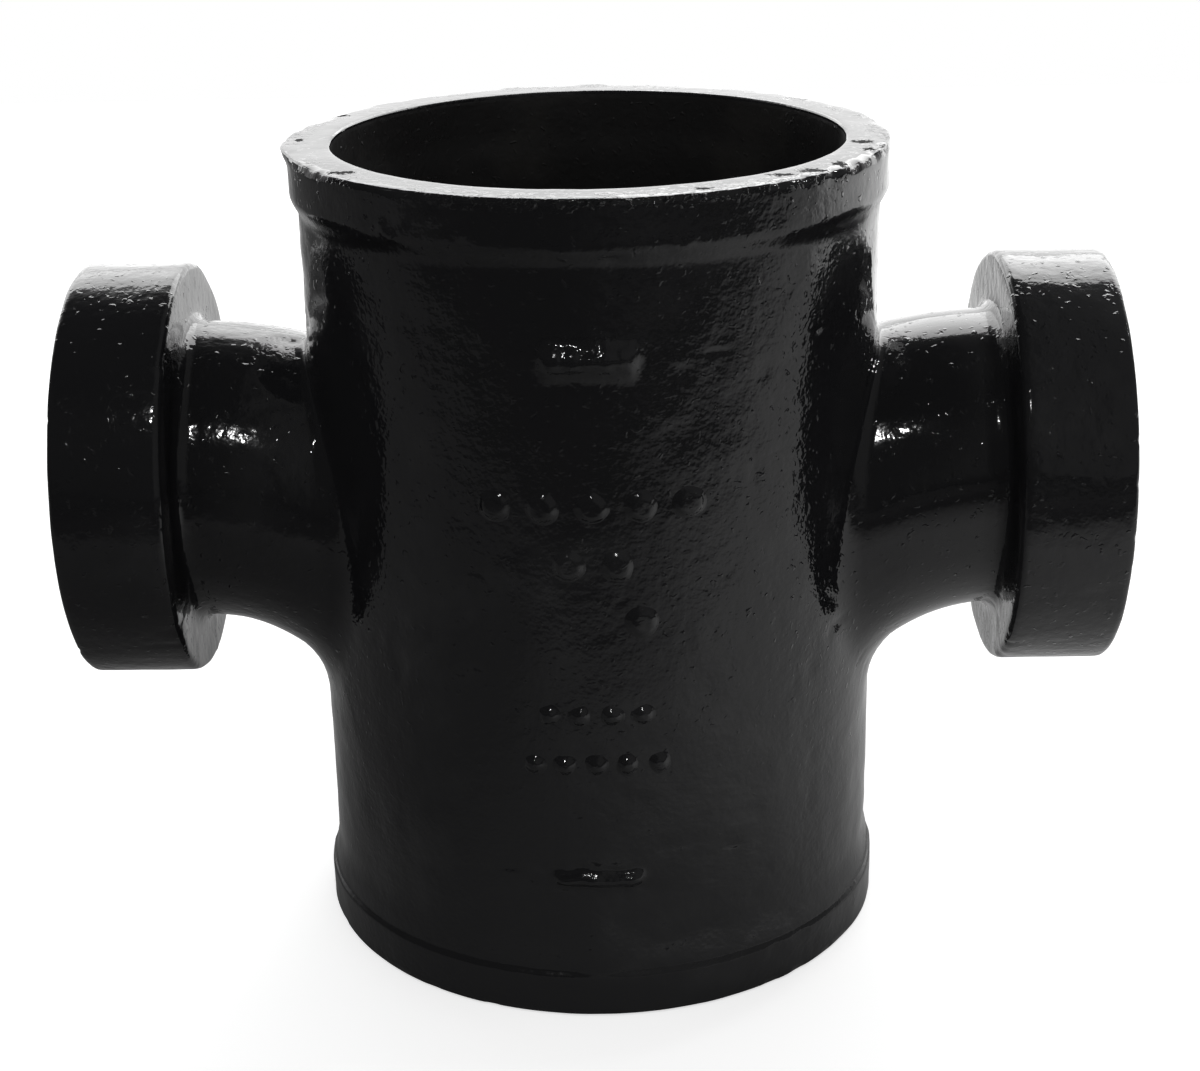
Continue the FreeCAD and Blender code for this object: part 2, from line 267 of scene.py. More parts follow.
def wall_radius(turn_angle, height):
    """Barrel radius, plus the bead near each end through a smooth slope, plus the lugs.

    The upper bead ends in one slope.  The lower one ends in a short step and a fade; in
    the middle of the front the coat has filled the step, so there the fade is long.
    A lug is a smooth ridge in the height times a smooth plateau across; there are two in
    front and two at the back.
    """
    from_end = np.minimum(height, HEIGHT - height)
    upper_half = height > HEIGHT / 2
    upper = 1.0 - smooth_step(BEAD_WIDTH - 1.0, SLOPE_END, HEIGHT - height)
    filled = np.exp(-(turn_angle / FILLED_HALF_TURN) ** 2)
    step = LOW_STEP_SHARE * (1.0 - FILLED_SHARE * filled)
    fade_end = LOW_FADE_END + FILLED_FADE * filled
    lower = (1.0 - step * smooth_step(BEAD_WIDTH - 1.3, BEAD_WIDTH - 0.1, height)
             - (1.0 - step) * smooth_step(BEAD_WIDTH - 0.8, fade_end, height))
    bead = np.where(upper_half, upper, lower)
    across = BARREL_R * (np.mod(turn_angle + QUARTER, np.pi) - QUARTER)
    side = 1.0 - smooth_step(LUG_HALF_WIDTH - 1.8, LUG_HALF_WIDTH + 0.6, np.abs(across))
    foot = LUG_HALF_HEIGHT + np.where(upper_half, UPPER_LUG_FADE, LOWER_LUG_FADE)
    up = 1.0 - smooth_step(0.1, foot, np.abs(from_end - LUG_IN))
    proud = LUG_PROUD * np.where(upper_half, 1.0, LOWER_LUG_SHARE)
    return BARREL_R + (BEAD_R - BARREL_R) * bead + proud * side * up


def on_wall(turn_angle, radius, height):
    """A point at this turn from the front, this radius from the run's axis and height."""
    turn_angle, radius, height = np.broadcast_arrays(turn_angle, radius, height)
    return np.stack([radius * np.sin(turn_angle), -radius * np.cos(turn_angle), height], -1)


def without_windows(faces, columns, first_row, rows, first_columns, wide):
    """The grid's faces, less those inside the windows that start at the given columns."""
    row, column = faces[:, 0] // columns, faces[:, 0] % columns
    inside = np.zeros(len(faces), bool)
    for start in first_columns:
        inside |= ((row >= first_row) & (row < first_row + rows)
                   & (column >= start) & (column < start + wide))
    return faces[~inside]


wall = on_wall(turns[None, :], wall_radius(turns[None, :], levels[:, None]), levels[:, None])
wall_faces = without_windows(
    grid_faces(len(levels), len(turns), True), len(turns), len(low_levels) - 1,
    WINDOW_ROWS, (FRONT_CELLS, FRONT_CELLS + WINDOW_CELLS + BACK_CELLS), WINDOW_CELLS)
put(wall, wall_faces)
print("wall faces:", len(wall_faces))

# %% [markdown]
# ## The two end faces
#
# The ends are cut square and then coated, so each end is a flat ring with a small eased
# edge outside and inside.  It is a short profile turned round the axis.  The profile
# starts on the wall's last row and ends a little way down the bore.

# %% End faces
END_PROFILE = [(57.2, 0.42), (57.17, 0.24), (57.09, 0.10), (56.96, 0.02), (56.75, 0.0),
               (55.7, 0.0), (54.6, 0.0), (53.3, 0.0), (52.0, 0.0), (50.9, 0.0),
               (49.6, 0.0), (49.32, 0.04), (49.13, 0.16), (49.03, 0.36), (49.0, 0.8)]
end_r, end_in = np.array(END_PROFILE).T
top_end = on_wall(turns[None, :], end_r[:, None], HEIGHT - end_in[:, None])
low_end = on_wall(turns[None, :], end_r[:, None], end_in[:, None])
end_faces = grid_faces(len(end_r), len(turns), True)
top_first = put(top_end, end_faces)
low_first = put(low_end, end_faces)
print("faces of the two ends:", 2 * len(end_faces))

# %% [markdown]
# ## The bore
#
# Inside, the run is a plain round bore.  It is seen only from above and below, so its
# grid has half as many columns.  Three triangles for each coarse edge join it to the
# finer end faces.  It has a window for each waterway.

# %% Bore
BORE_LOW, BORE_HIGH, BORE_ROWS = 40.0, 121.0, 30
bore_turns = turns[::2]
bore_levels = np.concatenate([
    np.linspace(3.0, BORE_LOW, 7)[:-1], np.linspace(BORE_LOW, BORE_HIGH, BORE_ROWS + 1),
    np.linspace(BORE_HIGH, HEIGHT - 3.0, 7)[1:]])
bore = on_wall(bore_turns[None, :], BORE_R, bore_levels[:, None])
bore_faces = without_windows(
    grid_faces(len(bore_levels), len(bore_turns), True), len(bore_turns), 6, BORE_ROWS,
    (FRONT_CELLS // 2, (FRONT_CELLS + WINDOW_CELLS + BACK_CELLS) // 2), WINDOW_CELLS // 2)
bore_first = put(bore, bore_faces)
last_ring = (len(end_r) - 1) * len(turns)
basket_faces.append(halving_faces(low_first + last_ring, bore_first, len(bore_turns)))
basket_faces.append(halving_faces(
    top_first + last_ring, bore_first + (len(bore_levels) - 1) * len(bore_turns),
    len(bore_turns)))
print("bore faces:", len(bore_faces))

# %% [markdown]
# ## Where a neck meets the run
#
# A neck is a round tube bent about a level line, and the run is an upright cylinder.  The
# line where they meet has a plain formula: a point of the tube at the ring angle g and
# the bend angle f is at distance x = boss - (R + r sin g) sin f from the run's axis, and
# it lies on the cylinder when x^2 + (r cos g)^2 is the cylinder's radius squared.
#
# The window's edge points and the ring round the neck must have the same number.  Each
# edge point takes the place on the meeting line that lies in its own direction from the
# middle of the window, so the spokes between them never cross.

# %% Spokes of a window
def meeting_bend(ring_angle, tube_r, wall_r):
    """Bend angle f at which the tube meets the wall, for each ring angle."""
    x = np.sqrt(wall_r ** 2 - (tube_r * np.cos(ring_angle)) ** 2)
    return np.arcsin((BOSS_X - x) / (BEND_R + tube_r * np.sin(ring_angle)))


def tube_point(ring_angle, bend, tube_r):
    """A point of the bent tube: the ring angle round it, the bend angle along it."""
    reach = BEND_R + tube_r * np.sin(ring_angle)
    ring_angle, bend, reach = np.broadcast_arrays(ring_angle, bend, reach)
    return np.stack([BOSS_X - reach * np.sin(bend), tube_r * np.cos(ring_angle),
                     BEND_Z + reach * np.cos(bend)], -1)


def window_edge(half_wide, low, high, cells_wide, cells_high):
    """The window's edge points as (arc across, height), from the middle of its +Y side."""
    up = np.linspace(low, high, cells_high + 1)
    over = np.linspace(half_wide, -half_wide, cells_wide + 1)
    half = cells_high // 2
    across = np.concatenate([np.full(half, half_wide), over[:-1],
                             np.full(cells_high, -half_wide), over[::-1][:-1],
                             np.full(half, half_wide)])
    height = np.concatenate([up[half:-1], np.full(cells_wide, high), up[::-1][:-1],
                             np.full(cells_wide, low), up[:half]])
    return across, height


def spoke_angles(across, height, tube_r, wall_r):
    """Ring angles of the points of the meeting line that lie in each edge point's way."""
    middle = height[0]
    g = np.linspace(-np.pi, 3 * np.pi, 4001)
    met = tube_point(g, meeting_bend(g, tube_r, wall_r), tube_r)
    arc = wall_r * np.arcsin(met[:, 1] / wall_r)
    way = np.unwrap(np.arctan2(met[:, 2] - middle, arc))
    way -= 2 * np.pi * np.round((way[1000] - g[1000]) / (2 * np.pi))
    wanted = np.unwrap(np.arctan2(height - middle, across))
    return np.interp(wanted, way, g)


def step_out(met, across, height, wall_r, distance):
    """The wall's point (arc across, height) this far from the met one towards the edge.

    The wall is laid flat; the share of the way is the distance over the way's length.
    """
    met_across = wall_r * np.arcsin(met[:, 1] / wall_r)
    gap_across, gap_height = across - met_across, height - met[:, 2]
    share = distance / np.hypot(gap_across, gap_height)
    return met_across + share * gap_across, met[:, 2] + share * gap_height


def round_wall(across, height, wall_r):
    """Wraps (arc across, height) round the +X side of a cylinder."""
    return on_wall(QUARTER + across / wall_r, wall_r, height)


# %% [markdown]
# ## One branch, ring by ring
#
# From the window outwards the rings run in along the barrel, bend up a fillet onto the
# neck, follow the neck's sweep to the boss, go round the boss, and turn in over its face
# to the mouth of the tapping.  The fillet is tight on top, wider at the sides and widest
# under the sweep, as the moulder's pattern has it.

# %% Fillet and neck
FILLET, LESS_ON_TOP, MORE_UNDER = 4.6, 1.9, 2.0
PATCH_ROWS, FILLET_ROWS, NECK_ROWS = 7, 6, 11
FOOT = 3.0
edge_across, edge_height = window_edge(
    WINDOW_HALF * BARREL_R, WINDOW_LOW, WINDOW_HIGH, WINDOW_CELLS, WINDOW_ROWS)
ring = spoke_angles(edge_across, edge_height, NECK_R, BARREL_R)
fillet = (FILLET - LESS_ON_TOP * smooth_step(0.2, 1.0, np.sin(ring))
          + MORE_UNDER * smooth_step(0.3, 1.0, -np.sin(ring)))
bend_met = meeting_bend(ring, NECK_R, BARREL_R)
met = tube_point(ring, bend_met, NECK_R)
start_across, start_height = step_out(met, edge_across, edge_height, BARREL_R, fillet)
t = np.linspace(0.0, 1.0, PATCH_ROWS + 1)[:, None]
rings = list(round_wall((1 - t) * edge_across + t * start_across,
                        (1 - t) * edge_height + t * start_height, BARREL_R))
reach_round = BEND_R + NECK_R * np.sin(ring)
bend_start = bend_met - fillet / reach_round
rings += corner_arc(rings[-1], met, tube_point(ring, bend_start, NECK_R), FILLET_ROWS)
bend_end = FOOT / reach_round
for part in np.linspace(0.0, 1.0, NECK_ROWS + 1)[1:]:
    rings.append(tube_point(ring, bend_start + part * (bend_end - bend_start), NECK_R))
print("rings of the patch, the fillet and the neck:", len(rings))

# %% [markdown]
# The rings go on round the boss.  A small foot eases the neck into the boss's back, both
# outer corners are eased, and a bevel leads from the boss's face into the tapping.

# %% Boss and mouth
def boss_ring(x, radius):
    """A circle of the boss at distance x from the run's axis."""
    return np.stack([np.full(len(ring), float(x)), radius * np.cos(ring),
                     INLET_Z + radius * np.sin(ring)], -1)


BOSS_EASE = 1.6
MOUTH_R, MOUTH_FLAT, MOUTH_EASE = 30.4, 0.6, 0.4
CREST_R, THREAD_START = 28.2, 98.2
rings += corner_arc(rings[-1], boss_ring(BOSS_X, NECK_R), boss_ring(BOSS_X, NECK_R + FOOT), 4)
rings += straight(rings[-1], boss_ring(BOSS_X, BOSS_R - BOSS_EASE), 4)
rings += corner_arc(rings[-1], boss_ring(BOSS_X, BOSS_R),
                    boss_ring(BOSS_X + BOSS_EASE, BOSS_R), 4)
rings += straight(rings[-1], boss_ring(REACH - BOSS_EASE, BOSS_R), 9)
rings += corner_arc(rings[-1], boss_ring(REACH, BOSS_R), boss_ring(REACH, BOSS_R - BOSS_EASE), 4)
rings += straight(rings[-1], boss_ring(REACH, MOUTH_R + MOUTH_FLAT), 5)
rings += corner_arc(rings[-1], boss_ring(REACH, MOUTH_R),
                    boss_ring(REACH - MOUTH_EASE, MOUTH_R - MOUTH_EASE), 2)
rings += straight(rings[-1], boss_ring(THREAD_START, CREST_R), 2)
branch = np.stack(rings)
print("branch rings:", len(rings), "of", len(ring), "points")

# %% [markdown]
# ## The tapping
#
# A tapered pipe thread has 11.5 turns to the inch and narrows by one in sixteen.  A cheap
# way is a stack of rings with a wave in them, but then crests break up where rings miss
# them.  Here the rows of the grid follow the helix itself: each row climbs one pitch in a
# turn and meets the row one pitch further on, so crests and roots stay sharp with four
# rows to a pitch.  Rows that would leave the tapping are held at its ends and merge there.

# %% Threads
PITCH = 25.4 / 11.5
THREAD_LENGTH, THREAD_DEPTH = 15.8, 1.72
TAPER = 1.0 / 32.0
SPARE_TURNS, FADE_IN, FADE_OUT = 2.05, 1.0, 2.6
PHASES = np.array([0.0, 0.08, 0.5, 0.58])
PHASE_DEPTH = np.array([1.0, 1.0, 0.0, 0.0])
turn_share = (ring - ring[0]) / (2 * np.pi)
pitches = int(np.ceil(THREAD_LENGTH / PITCH + SPARE_TURNS))
row_climb = (np.arange(pitches)[:, None] + PHASES).ravel()
row_depth = np.tile(PHASE_DEPTH, pitches)
depth_in = np.clip(PITCH * (row_climb[:, None] + turn_share - 1.0), 0.0, THREAD_LENGTH)
fade = (smooth_step(0.0, FADE_IN, depth_in)
        * (1.0 - smooth_step(THREAD_LENGTH - FADE_OUT, THREAD_LENGTH, depth_in)))
thread_r = CREST_R - TAPER * depth_in + THREAD_DEPTH * fade * row_depth[:, None]
thread = np.stack([THREAD_START - depth_in, thread_r * np.cos(ring),
                   INLET_Z + thread_r * np.sin(ring)], -1)

# %% Faces of the threads
rows, around = depth_in.shape
per_pitch = len(PHASES)
row, column = np.meshgrid(np.arange(rows - 1), np.arange(around - 1), indexing="ij")
turning = np.stack([row * around + column, row * around + column + 1,
                    (row + 1) * around + column + 1, (row + 1) * around + column], -1)
row = np.arange(rows - 1 - per_pitch)
meeting = np.stack([row * around + around - 1, (row + per_pitch) * around,
                    (row + 1 + per_pitch) * around, (row + 1) * around + around - 1], -1)
thread_faces = np.concatenate([turning.reshape(-1, 4), meeting])
print("thread rows:", rows, "for", round(THREAD_LENGTH / PITCH, 1), "turns")

# %% [markdown]
# ## The waterway behind the tapping
#
# A short cone leads from the thread to the cored waterway, which bends down into the run
# beside the neck's own sweep.  The rings are halved first, as the bore's were, and then
# drift from the thread's spacing to that of the bore's window.

# %% Waterway
EASE_IN, WATERWAY_ROWS = 1.6, 11
THREAD_END = THREAD_START - THREAD_LENGTH
end_crest = CREST_R - TAPER * THREAD_LENGTH
cone = [boss_ring(THREAD_END, end_crest)]
cone += straight(cone[0], boss_ring(THREAD_END - (end_crest - WATERWAY_R), WATERWAY_R), 2)
cone = np.stack(cone)

bore_across, bore_height = window_edge(
    WINDOW_HALF * BORE_R, BORE_LOW, BORE_HIGH, WINDOW_CELLS // 2, BORE_ROWS)
bore_ring = spoke_angles(bore_across, bore_height, WATERWAY_R, BORE_R)
bore_bend = meeting_bend(bore_ring, WATERWAY_R, BORE_R)
stop_bend = bore_bend - EASE_IN / (BEND_R + WATERWAY_R * np.sin(bore_ring))
inner = [tube_point((1 - part) * ring[::2] + part * bore_ring, part * stop_bend, WATERWAY_R)
         for part in np.linspace(0.0, 1.0, WATERWAY_ROWS + 1)]
met = tube_point(bore_ring, bore_bend, WATERWAY_R)
leave_across, leave_height = step_out(met, bore_across, bore_height, BORE_R, EASE_IN)
inner += corner_arc(inner[-1], met, round_wall(leave_across, leave_height, BORE_R), 3)
t = np.linspace(0.0, 1.0, 6)[1:, None]
inner += list(round_wall((1 - t) * leave_across + t * bore_across,
                         (1 - t) * leave_height + t * bore_height, BORE_R))
inner = np.stack(inner)
print("rings from the thread to the bore:", len(cone) + len(inner))

# %% [markdown]
# ## Both branches
#
# The left branch is the mirror image of the right one, so the same grids go into the
# basket twice, the second time with x turned round.  A mirror turns faces inside out, and
# the merge that follows puts them right again.

# %% Put both branches in the basket
MIRROR = np.array([-1.0, 1.0, 1.0])
for flip in (np.ones(3), MIRROR):
    put(branch * flip, grid_faces(len(branch), around, True))
    put(thread * flip, thread_faces)
    cone_first = put(cone * flip, grid_faces(len(cone), around, True))
    inner_first = put(inner * flip, grid_faces(len(inner), around // 2, True))
    basket_faces.append(halving_faces(cone_first + (len(cone) - 1) * around,
                                      inner_first, around // 2))

points = np.concatenate(basket_points)
faces = np.concatenate(basket_faces)
print("basket:", len(points), "points,", len(faces), "faces")

# %% [markdown]
# ## Merge the patches into one closed skin
#
# Grids that share a border have equal points there.  Merging them closes the skin, and
# the rows that were held at the ends of the threads fall together at the same time.

# %% Closed skin
MERGE_WITHIN, THIN_EDGE = 0.002, 0.0005


def closed_skin(name, points, faces):
    """A mesh of the points and faces, merged, closed and with its faces outwards."""
    corners = [tuple(dict.fromkeys(face)) for face in faces.tolist()]
    mesh = bpy.data.meshes.new(name)
    mesh.from_pydata(points.tolist(), [], [c for c in corners if len(c) > 2])
    work = bmesh.new()
    work.from_mesh(mesh)
    bmesh.ops.remove_doubles(work, verts=work.verts, dist=MERGE_WITHIN)
    bmesh.ops.dissolve_degenerate(work, edges=work.edges, dist=THIN_EDGE)
    bmesh.ops.recalc_face_normals(work, faces=work.faces)
    open_edges = sum(1 for edge in work.edges if len(edge.link_faces) != 2)
    volume = work.calc_volume(signed=True)
    work.to_mesh(mesh)
    work.free()
    triangles = sum(len(polygon.vertices) - 2 for polygon in mesh.polygons)
    print(name, "triangles:", triangles, "open edges:", open_edges,
          "volume in cubic cm:", round(volume / 1000, 1))
    return mesh


skin = closed_skin("casting_skin", points, faces)

# %% [markdown]
# ## Cast relief
#
# Sand leaves a skin of low hills, and the thick coat softens them.  Hills wider than a few
# millimetres are real moves of the points along their normals, because they bend the
# outline and every reflection.  Finer grain is left to the material.  Threads and the cut
# end faces stay true, and nothing moves past the solid model's box.
#
# The points are sorted first: how far each is from the run's axis and from the inlets'
# axis, and which of them belong to the tappings and to the cut faces.

# %% Where each point lies
spots = np.zeros(len(skin.vertices) * 3)
skin.vertices.foreach_get("co", spots)
spots = spots.reshape(-1, 3)
outward = np.zeros(len(skin.vertices) * 3)
skin.vertex_normals.foreach_get("vector", outward)
outward = outward.reshape(-1, 3)

run_r = np.hypot(spots[:, 0], spots[:, 1])
turn_at = np.arctan2(spots[:, 0], -spots[:, 1])
turn_degrees = np.degrees(turn_at)
radial = np.stack([np.sin(turn_at), -np.cos(turn_at), np.zeros(len(spots))], -1)
inlet_r = np.hypot(spots[:, 1], spots[:, 2] - INLET_Z)
beyond = np.abs(spots[:, 0])

ON_FACE = 0.3
tapped = (beyond > BOSS_X - 1.0) & (inlet_r < MOUTH_R + ON_FACE)
end_face = (((spots[:, 2] < ON_FACE) | (spots[:, 2] > HEIGHT - ON_FACE))
            & (run_r < BEAD_R + 1.0))
inlet_face = (beyond > REACH - ON_FACE) & ~tapped
cut_face = end_face | inlet_face
print("points:", len(spots), "tapped:", int(tapped.sum()), "on cut faces:", int(cut_face.sum()))

# %% [markdown]
# ### Hills and dents
#
# Three sizes of hills are added together.  On the outside there are also shallow dents, in
# patches, about twice as wide as they are high, which look like a hammered skin.

# %% Hills and dents
def cast_skin(points, coarse=1.0):
    """Hills 11, 5 and 2.6 mm wide, added; the coarse factor scales the two smaller sizes."""
    return (0.15 * relief(points, 11.0, 3) + coarse * 0.10 * relief(points, 5.0, 5)
            + coarse * 0.04 * relief(points, 2.6, 7))


BRANCH_CALM, DENT_SIZE, DENT_DEEP, PATCH_SIZE = 0.2, 4.2, 0.24, 24.0
DENT_SQUEEZE = np.array([1.0, 1.0, 2.1])
on_branch = smooth_step(BARREL_R - 4.0, BARREL_R + 6.0, beyond)
hills = cast_skin(spots, 1.0 - BRANCH_CALM * on_branch)
dents = smooth_step(0.42, 0.72, relief(spots * DENT_SQUEEZE, DENT_SIZE, 31))
patch = smooth_step(-0.15, 0.35, relief(spots, PATCH_SIZE, 37))
hills -= DENT_DEEP * dents * patch * (run_r > BARREL_R - 1.0)
print("dented share of the points:", round(float((dents * patch > 0.5).mean()), 3))

# %% [markdown]
# ### Rough lugs, one smooth neck, true faces
#
# The gasket lugs came out of the sand rougher than the wall.  The neck on the right is
# smoother than the left one, so its hills are mostly taken away.  The cut faces keep less
# than half of the hills and lie a tenth of a millimetre in, and the threads have none.

# %% Lugs, neck and faces
LUG_ROUGH, NECK_SMOOTHED, FACE_SHARE, FACE_SUNK = 0.26, 0.88, 0.4, 0.10
lug_across = BARREL_R * (np.mod(turn_at + QUARTER, np.pi) - QUARTER)
lug_up = np.minimum(spots[:, 2], HEIGHT - spots[:, 2]) - LUG_IN
on_lug = ((1.0 - smooth_step(LUG_HALF_WIDTH, LUG_HALF_WIDTH + 2.0, np.abs(lug_across)))
          * (1.0 - smooth_step(LUG_HALF_HEIGHT, LUG_HALF_HEIGHT + 2.0, np.abs(lug_up))))
hills += LUG_ROUGH * relief(spots, 1.5, 29) * on_lug
right_neck = (smooth_step(58.0, 63.0, spots[:, 0]) * (1.0 - smooth_step(74.0, 78.0, spots[:, 0]))
              * (inlet_r > WATERWAY_R + 1.5))
hills *= 1.0 - NECK_SMOOTHED * right_neck
hills[tapped] = 0.0
hills[cut_face] = FACE_SHARE * hills[cut_face] - FACE_SUNK
print("relief from", round(float(hills.min()), 2), "to", round(float(hills.max()), 2), "mm")

# %% [markdown]
# ## The chipped rim
#
# The saw tears small bites out of the brittle outer edge, and the coat fills them half.
# Each bite is a soft bump in the turn angle, and all of them act only near the edge: they
# pull it down and in.  A finer tremble runs all the way round.

# %% Rim bites: turn in degrees, half width in degrees, depth in millimetres
BITES = [(-67.0, 1.3, 0.25), (-60.5, 0.9, 0.3), (-56.5, 1.1, 0.55), (-53.6, 0.8, 0.4),
         (-34.0, 0.9, 0.3), (-21.0, 1.3, 0.25), (8.0, 1.2, 0.3), (21.0, 1.4, 0.3),
         (35.5, 1.2, 0.4), (42.5, 1.3, 0.65), (46.0, 0.9, 0.55), (49.5, 1.3, 1.1),
         (53.5, 1.2, 0.8), (57.5, 1.7, 1.2), (62.0, 1.5, 0.8), (67.0, 1.6, 1.1),
         (74.0, 1.8, 0.8), (97.0, 2.4, 0.6), (141.0, 1.5, 0.5), (-112.0, 2.0, 0.7),
         (-158.0, 1.3, 0.4)]
EDGE_REACH = 0.95
bite = np.zeros(len(spots))
for middle, half, deep in BITES:
    bite += deep * np.exp(-((turn_degrees - middle) / half) ** 2)
tremble = 0.16 * relief(spots, 2.3, 11) + 0.14 * relief(spots, 5.5, 13) + 0.12
bite = bite * (0.75 + 0.5 * relief(spots, 1.7, 17)) + tremble
near_edge = np.exp(-((BEAD_R - run_r) ** 2 + (HEIGHT - spots[:, 2]) ** 2) / EDGE_REACH ** 2)
pull = bite * near_edge * (run_r > BORE_R + 3.0)
print("deepest bite:", round(float(pull.max()), 2), "mm")

# %% [markdown]
# ## A burr on the rim
#
# Where the saw came out it pushed a small lip over the edge.  It is a bump in the turn
# angle that moves the outer edge outwards, most at the top and less over the next three
# millimetres down.

# %% Burr
BURR_TURN, BURR_HALF, BURR_OUT, BURR_DOWN = -86.0, 10.0, 1.3, 3.4
burr = (BURR_OUT * np.exp(-((turn_degrees - BURR_TURN) / BURR_HALF) ** 2)
        * smooth_step(HEIGHT - BURR_DOWN, HEIGHT - 0.3, spots[:, 2])
        * smooth_step(BEAD_R - 1.8, BEAD_R - 0.3, run_r))
print("burr:", round(float(burr.max()), 2), "mm")

# %% [markdown]
# ## The parting line
#
# The two half moulds met in the plane through both inlets, so a faint ridge runs over the
# bosses, the necks and the sides of the barrel.  It was ground off and coated, and only
# traces of it are left.

# %% Parting ridge
RIDGE_TALL, RIDGE_HALF = 0.16, 0.7
trace = np.clip(0.35 + 0.65 * relief(spots, 14.0, 19), 0.0, 1.0)
ridge = RIDGE_TALL * np.exp(-(spots[:, 1] / RIDGE_HALF) ** 2) * trace
ridge[tapped | cut_face | (run_r < BORE_R + 1.0)] = 0.0
print("parting ridge:", round(float(ridge.max()), 2), "mm")

# %% [markdown]
# ## Runs in the coat
#
# Where the dipped piece drained, the coat left small crescents on the bead.  Each is a
# low ridge along the lower half of a circle.

# %% Coat runs: turn in degrees, height, radius and how tall, in millimetres
COAT_RUNS = [(-36.0, 152.6, 2.6, 0.34), (16.5, 152.0, 2.2, 0.28), (-4.0, 150.5, 1.4, 0.18),
             (142.0, 151.0, 2.4, 0.3)]
RUN_HALF = 0.55
runs = np.zeros(len(spots))
for middle, height, size, tall in COAT_RUNS:
    over = (turn_degrees - middle) * np.radians(BEAD_R)
    upward = spots[:, 2] - height
    on_circle = np.exp(-((np.hypot(over, upward) - size) / RUN_HALF) ** 2)
    runs += tall * on_circle * smooth_step(0.6, -0.6, upward)
print("coat runs:", len(COAT_RUNS))

# %% [markdown]
# ## Move the points
#
# Hills, ridge and runs move a point along its normal.  The burr and the bites move it
# along the run's radius, and a bite also lowers it.  The last line holds every point
# inside the solid model's box.

# %% Moved skin
BITE_DOWN, INSIDE_BY = 0.7, 0.01
moved = spots + outward * (hills + ridge + runs)[:, None] + radial * (burr - pull)[:, None]
moved[:, 2] -= BITE_DOWN * pull
low, high = np.array(cad_box) / MM
moved = np.clip(moved, low + INSIDE_BY, high - INSIDE_BY)
skin.vertices.foreach_set("co", (moved * MM).ravel())
skin.update()
print("farthest move:", round(float(np.linalg.norm(moved - spots, axis=1).max()), 2), "mm")

# %% [markdown]
# ## Raised foundry pips
#
# The front carries rows of plain round pips, cast with the body.  Each is a closed lens: a
# soft dome above, sunk into the wall all round its foot, with its underside inside the
# iron.  The dome rides on the same relief as the wall, so it looks poured with it.

# %% Pip rows: radius, pitch, height and the places in the row, counted in pitches
PIP_ROWS = [(2.8, 8.8, 103.0, (-2, -1, 0, 1, 2)), (2.8, 8.8, 92.0, (-0.5, 0.5)),
            (2.8, 8.8, 81.0, (1,)), (1.8, 5.8, 62.5, (-1.5, -0.5, 0.5, 1.5)),
            (1.8, 5.8, 52.5, (-2, -1, 0, 1, 2))]
PIP_PROUD, PIP_SKIRT, PIP_ROOT, PIP_ROUGH = 0.95, 0.8, 0.7, 0.16
PIP_AROUND, PIP_TOP_RINGS, PIP_UNDER_RINGS = 28, 11, 3


def pip_lens(radius, across, height):
    """A pip as a grid: rings of growing width on top, then shrinking ones underneath.

    The dome is the proud height times a smooth step that falls from the crown to the
    foot, and ends a little below the wall.
    """
    foot = radius + PIP_SKIRT
    wide = np.concatenate([np.linspace(0.0, foot, PIP_TOP_RINGS),
                           np.linspace(foot, 0.0, PIP_UNDER_RINGS + 1)[1:]])
    dome = PIP_PROUD * (1.0 - smooth_step(radius - 1.3, radius + 0.5, wide)) - 0.05
    dome[PIP_TOP_RINGS - 1] = -0.25
    dome[PIP_TOP_RINGS:] = -PIP_ROOT
    g = np.linspace(0.0, 2 * np.pi, PIP_AROUND + 1)[:-1]
    u = across + wide[:, None] * np.cos(g)
    z = height + wide[:, None] * np.sin(g)
    flat = on_wall(u / BARREL_R, BARREL_R, z).reshape(-1, 3)
    skin_height = cast_skin(flat) + PIP_ROUGH * relief(flat, 1.9, 23)
    return on_wall(u / BARREL_R, BARREL_R + dome[:, None] + skin_height.reshape(u.shape), z)


# %% Pips
basket_points, basket_faces, basket_size = [], [], [0]
for radius, pitch, height, steps in PIP_ROWS:
    for step in steps:
        lens_points = pip_lens(radius, step * pitch, height)
        put(lens_points, grid_faces(len(lens_points), PIP_AROUND, True))
pips = closed_skin("foundry_pips", np.concatenate(basket_points), np.concatenate(basket_faces))
pips.transform(Matrix.Scale(MM, 4))

# %% [markdown]
# ## The coat
#
# The finish is one thick black dip coat over cast iron.  It could be a plain dark gloss,
# but the eye reads a casting by what breaks the gloss: an orange peel in the coat, the
# pebbled iron under it, pits and small runs.  One node group gives all of them, and each
# material places it with its own sizes.

# %% Node group: its sockets
grain = bpy.data.node_groups.new("cast_grain", "ShaderNodeTree")
for socket_name, start in (("Pebble Size", 3.2), ("Peel Size", 1.1), ("Pebble Share", 0.6),
                           ("Low Roughness", 0.12), ("High Roughness", 0.3)):
    socket = grain.interface.new_socket(socket_name, in_out="INPUT", socket_type="NodeSocketFloat")
    socket.default_value = start
for socket_name in ("Height", "Roughness", "Dust"):
    grain.interface.new_socket(socket_name, in_out="OUTPUT", socket_type="NodeSocketFloat")
print("cast_grain sockets:", [item.name for item in grain.interface.items_tree])

# %% [markdown]
# ### Small tools for nodes
#
# A node tree written in code is long, and most of it is the same few nodes.  These tools
# make one node each, wire what goes in, and give back what comes out, so that the lines
# after them read like formulas.

# %% Helpers for nodes
def node(tree, kind, **values):
    """A node of this kind with the given properties."""
    made = tree.nodes.new("ShaderNode" + kind)
    for name, value in values.items():
        setattr(made, name, value)
    return made


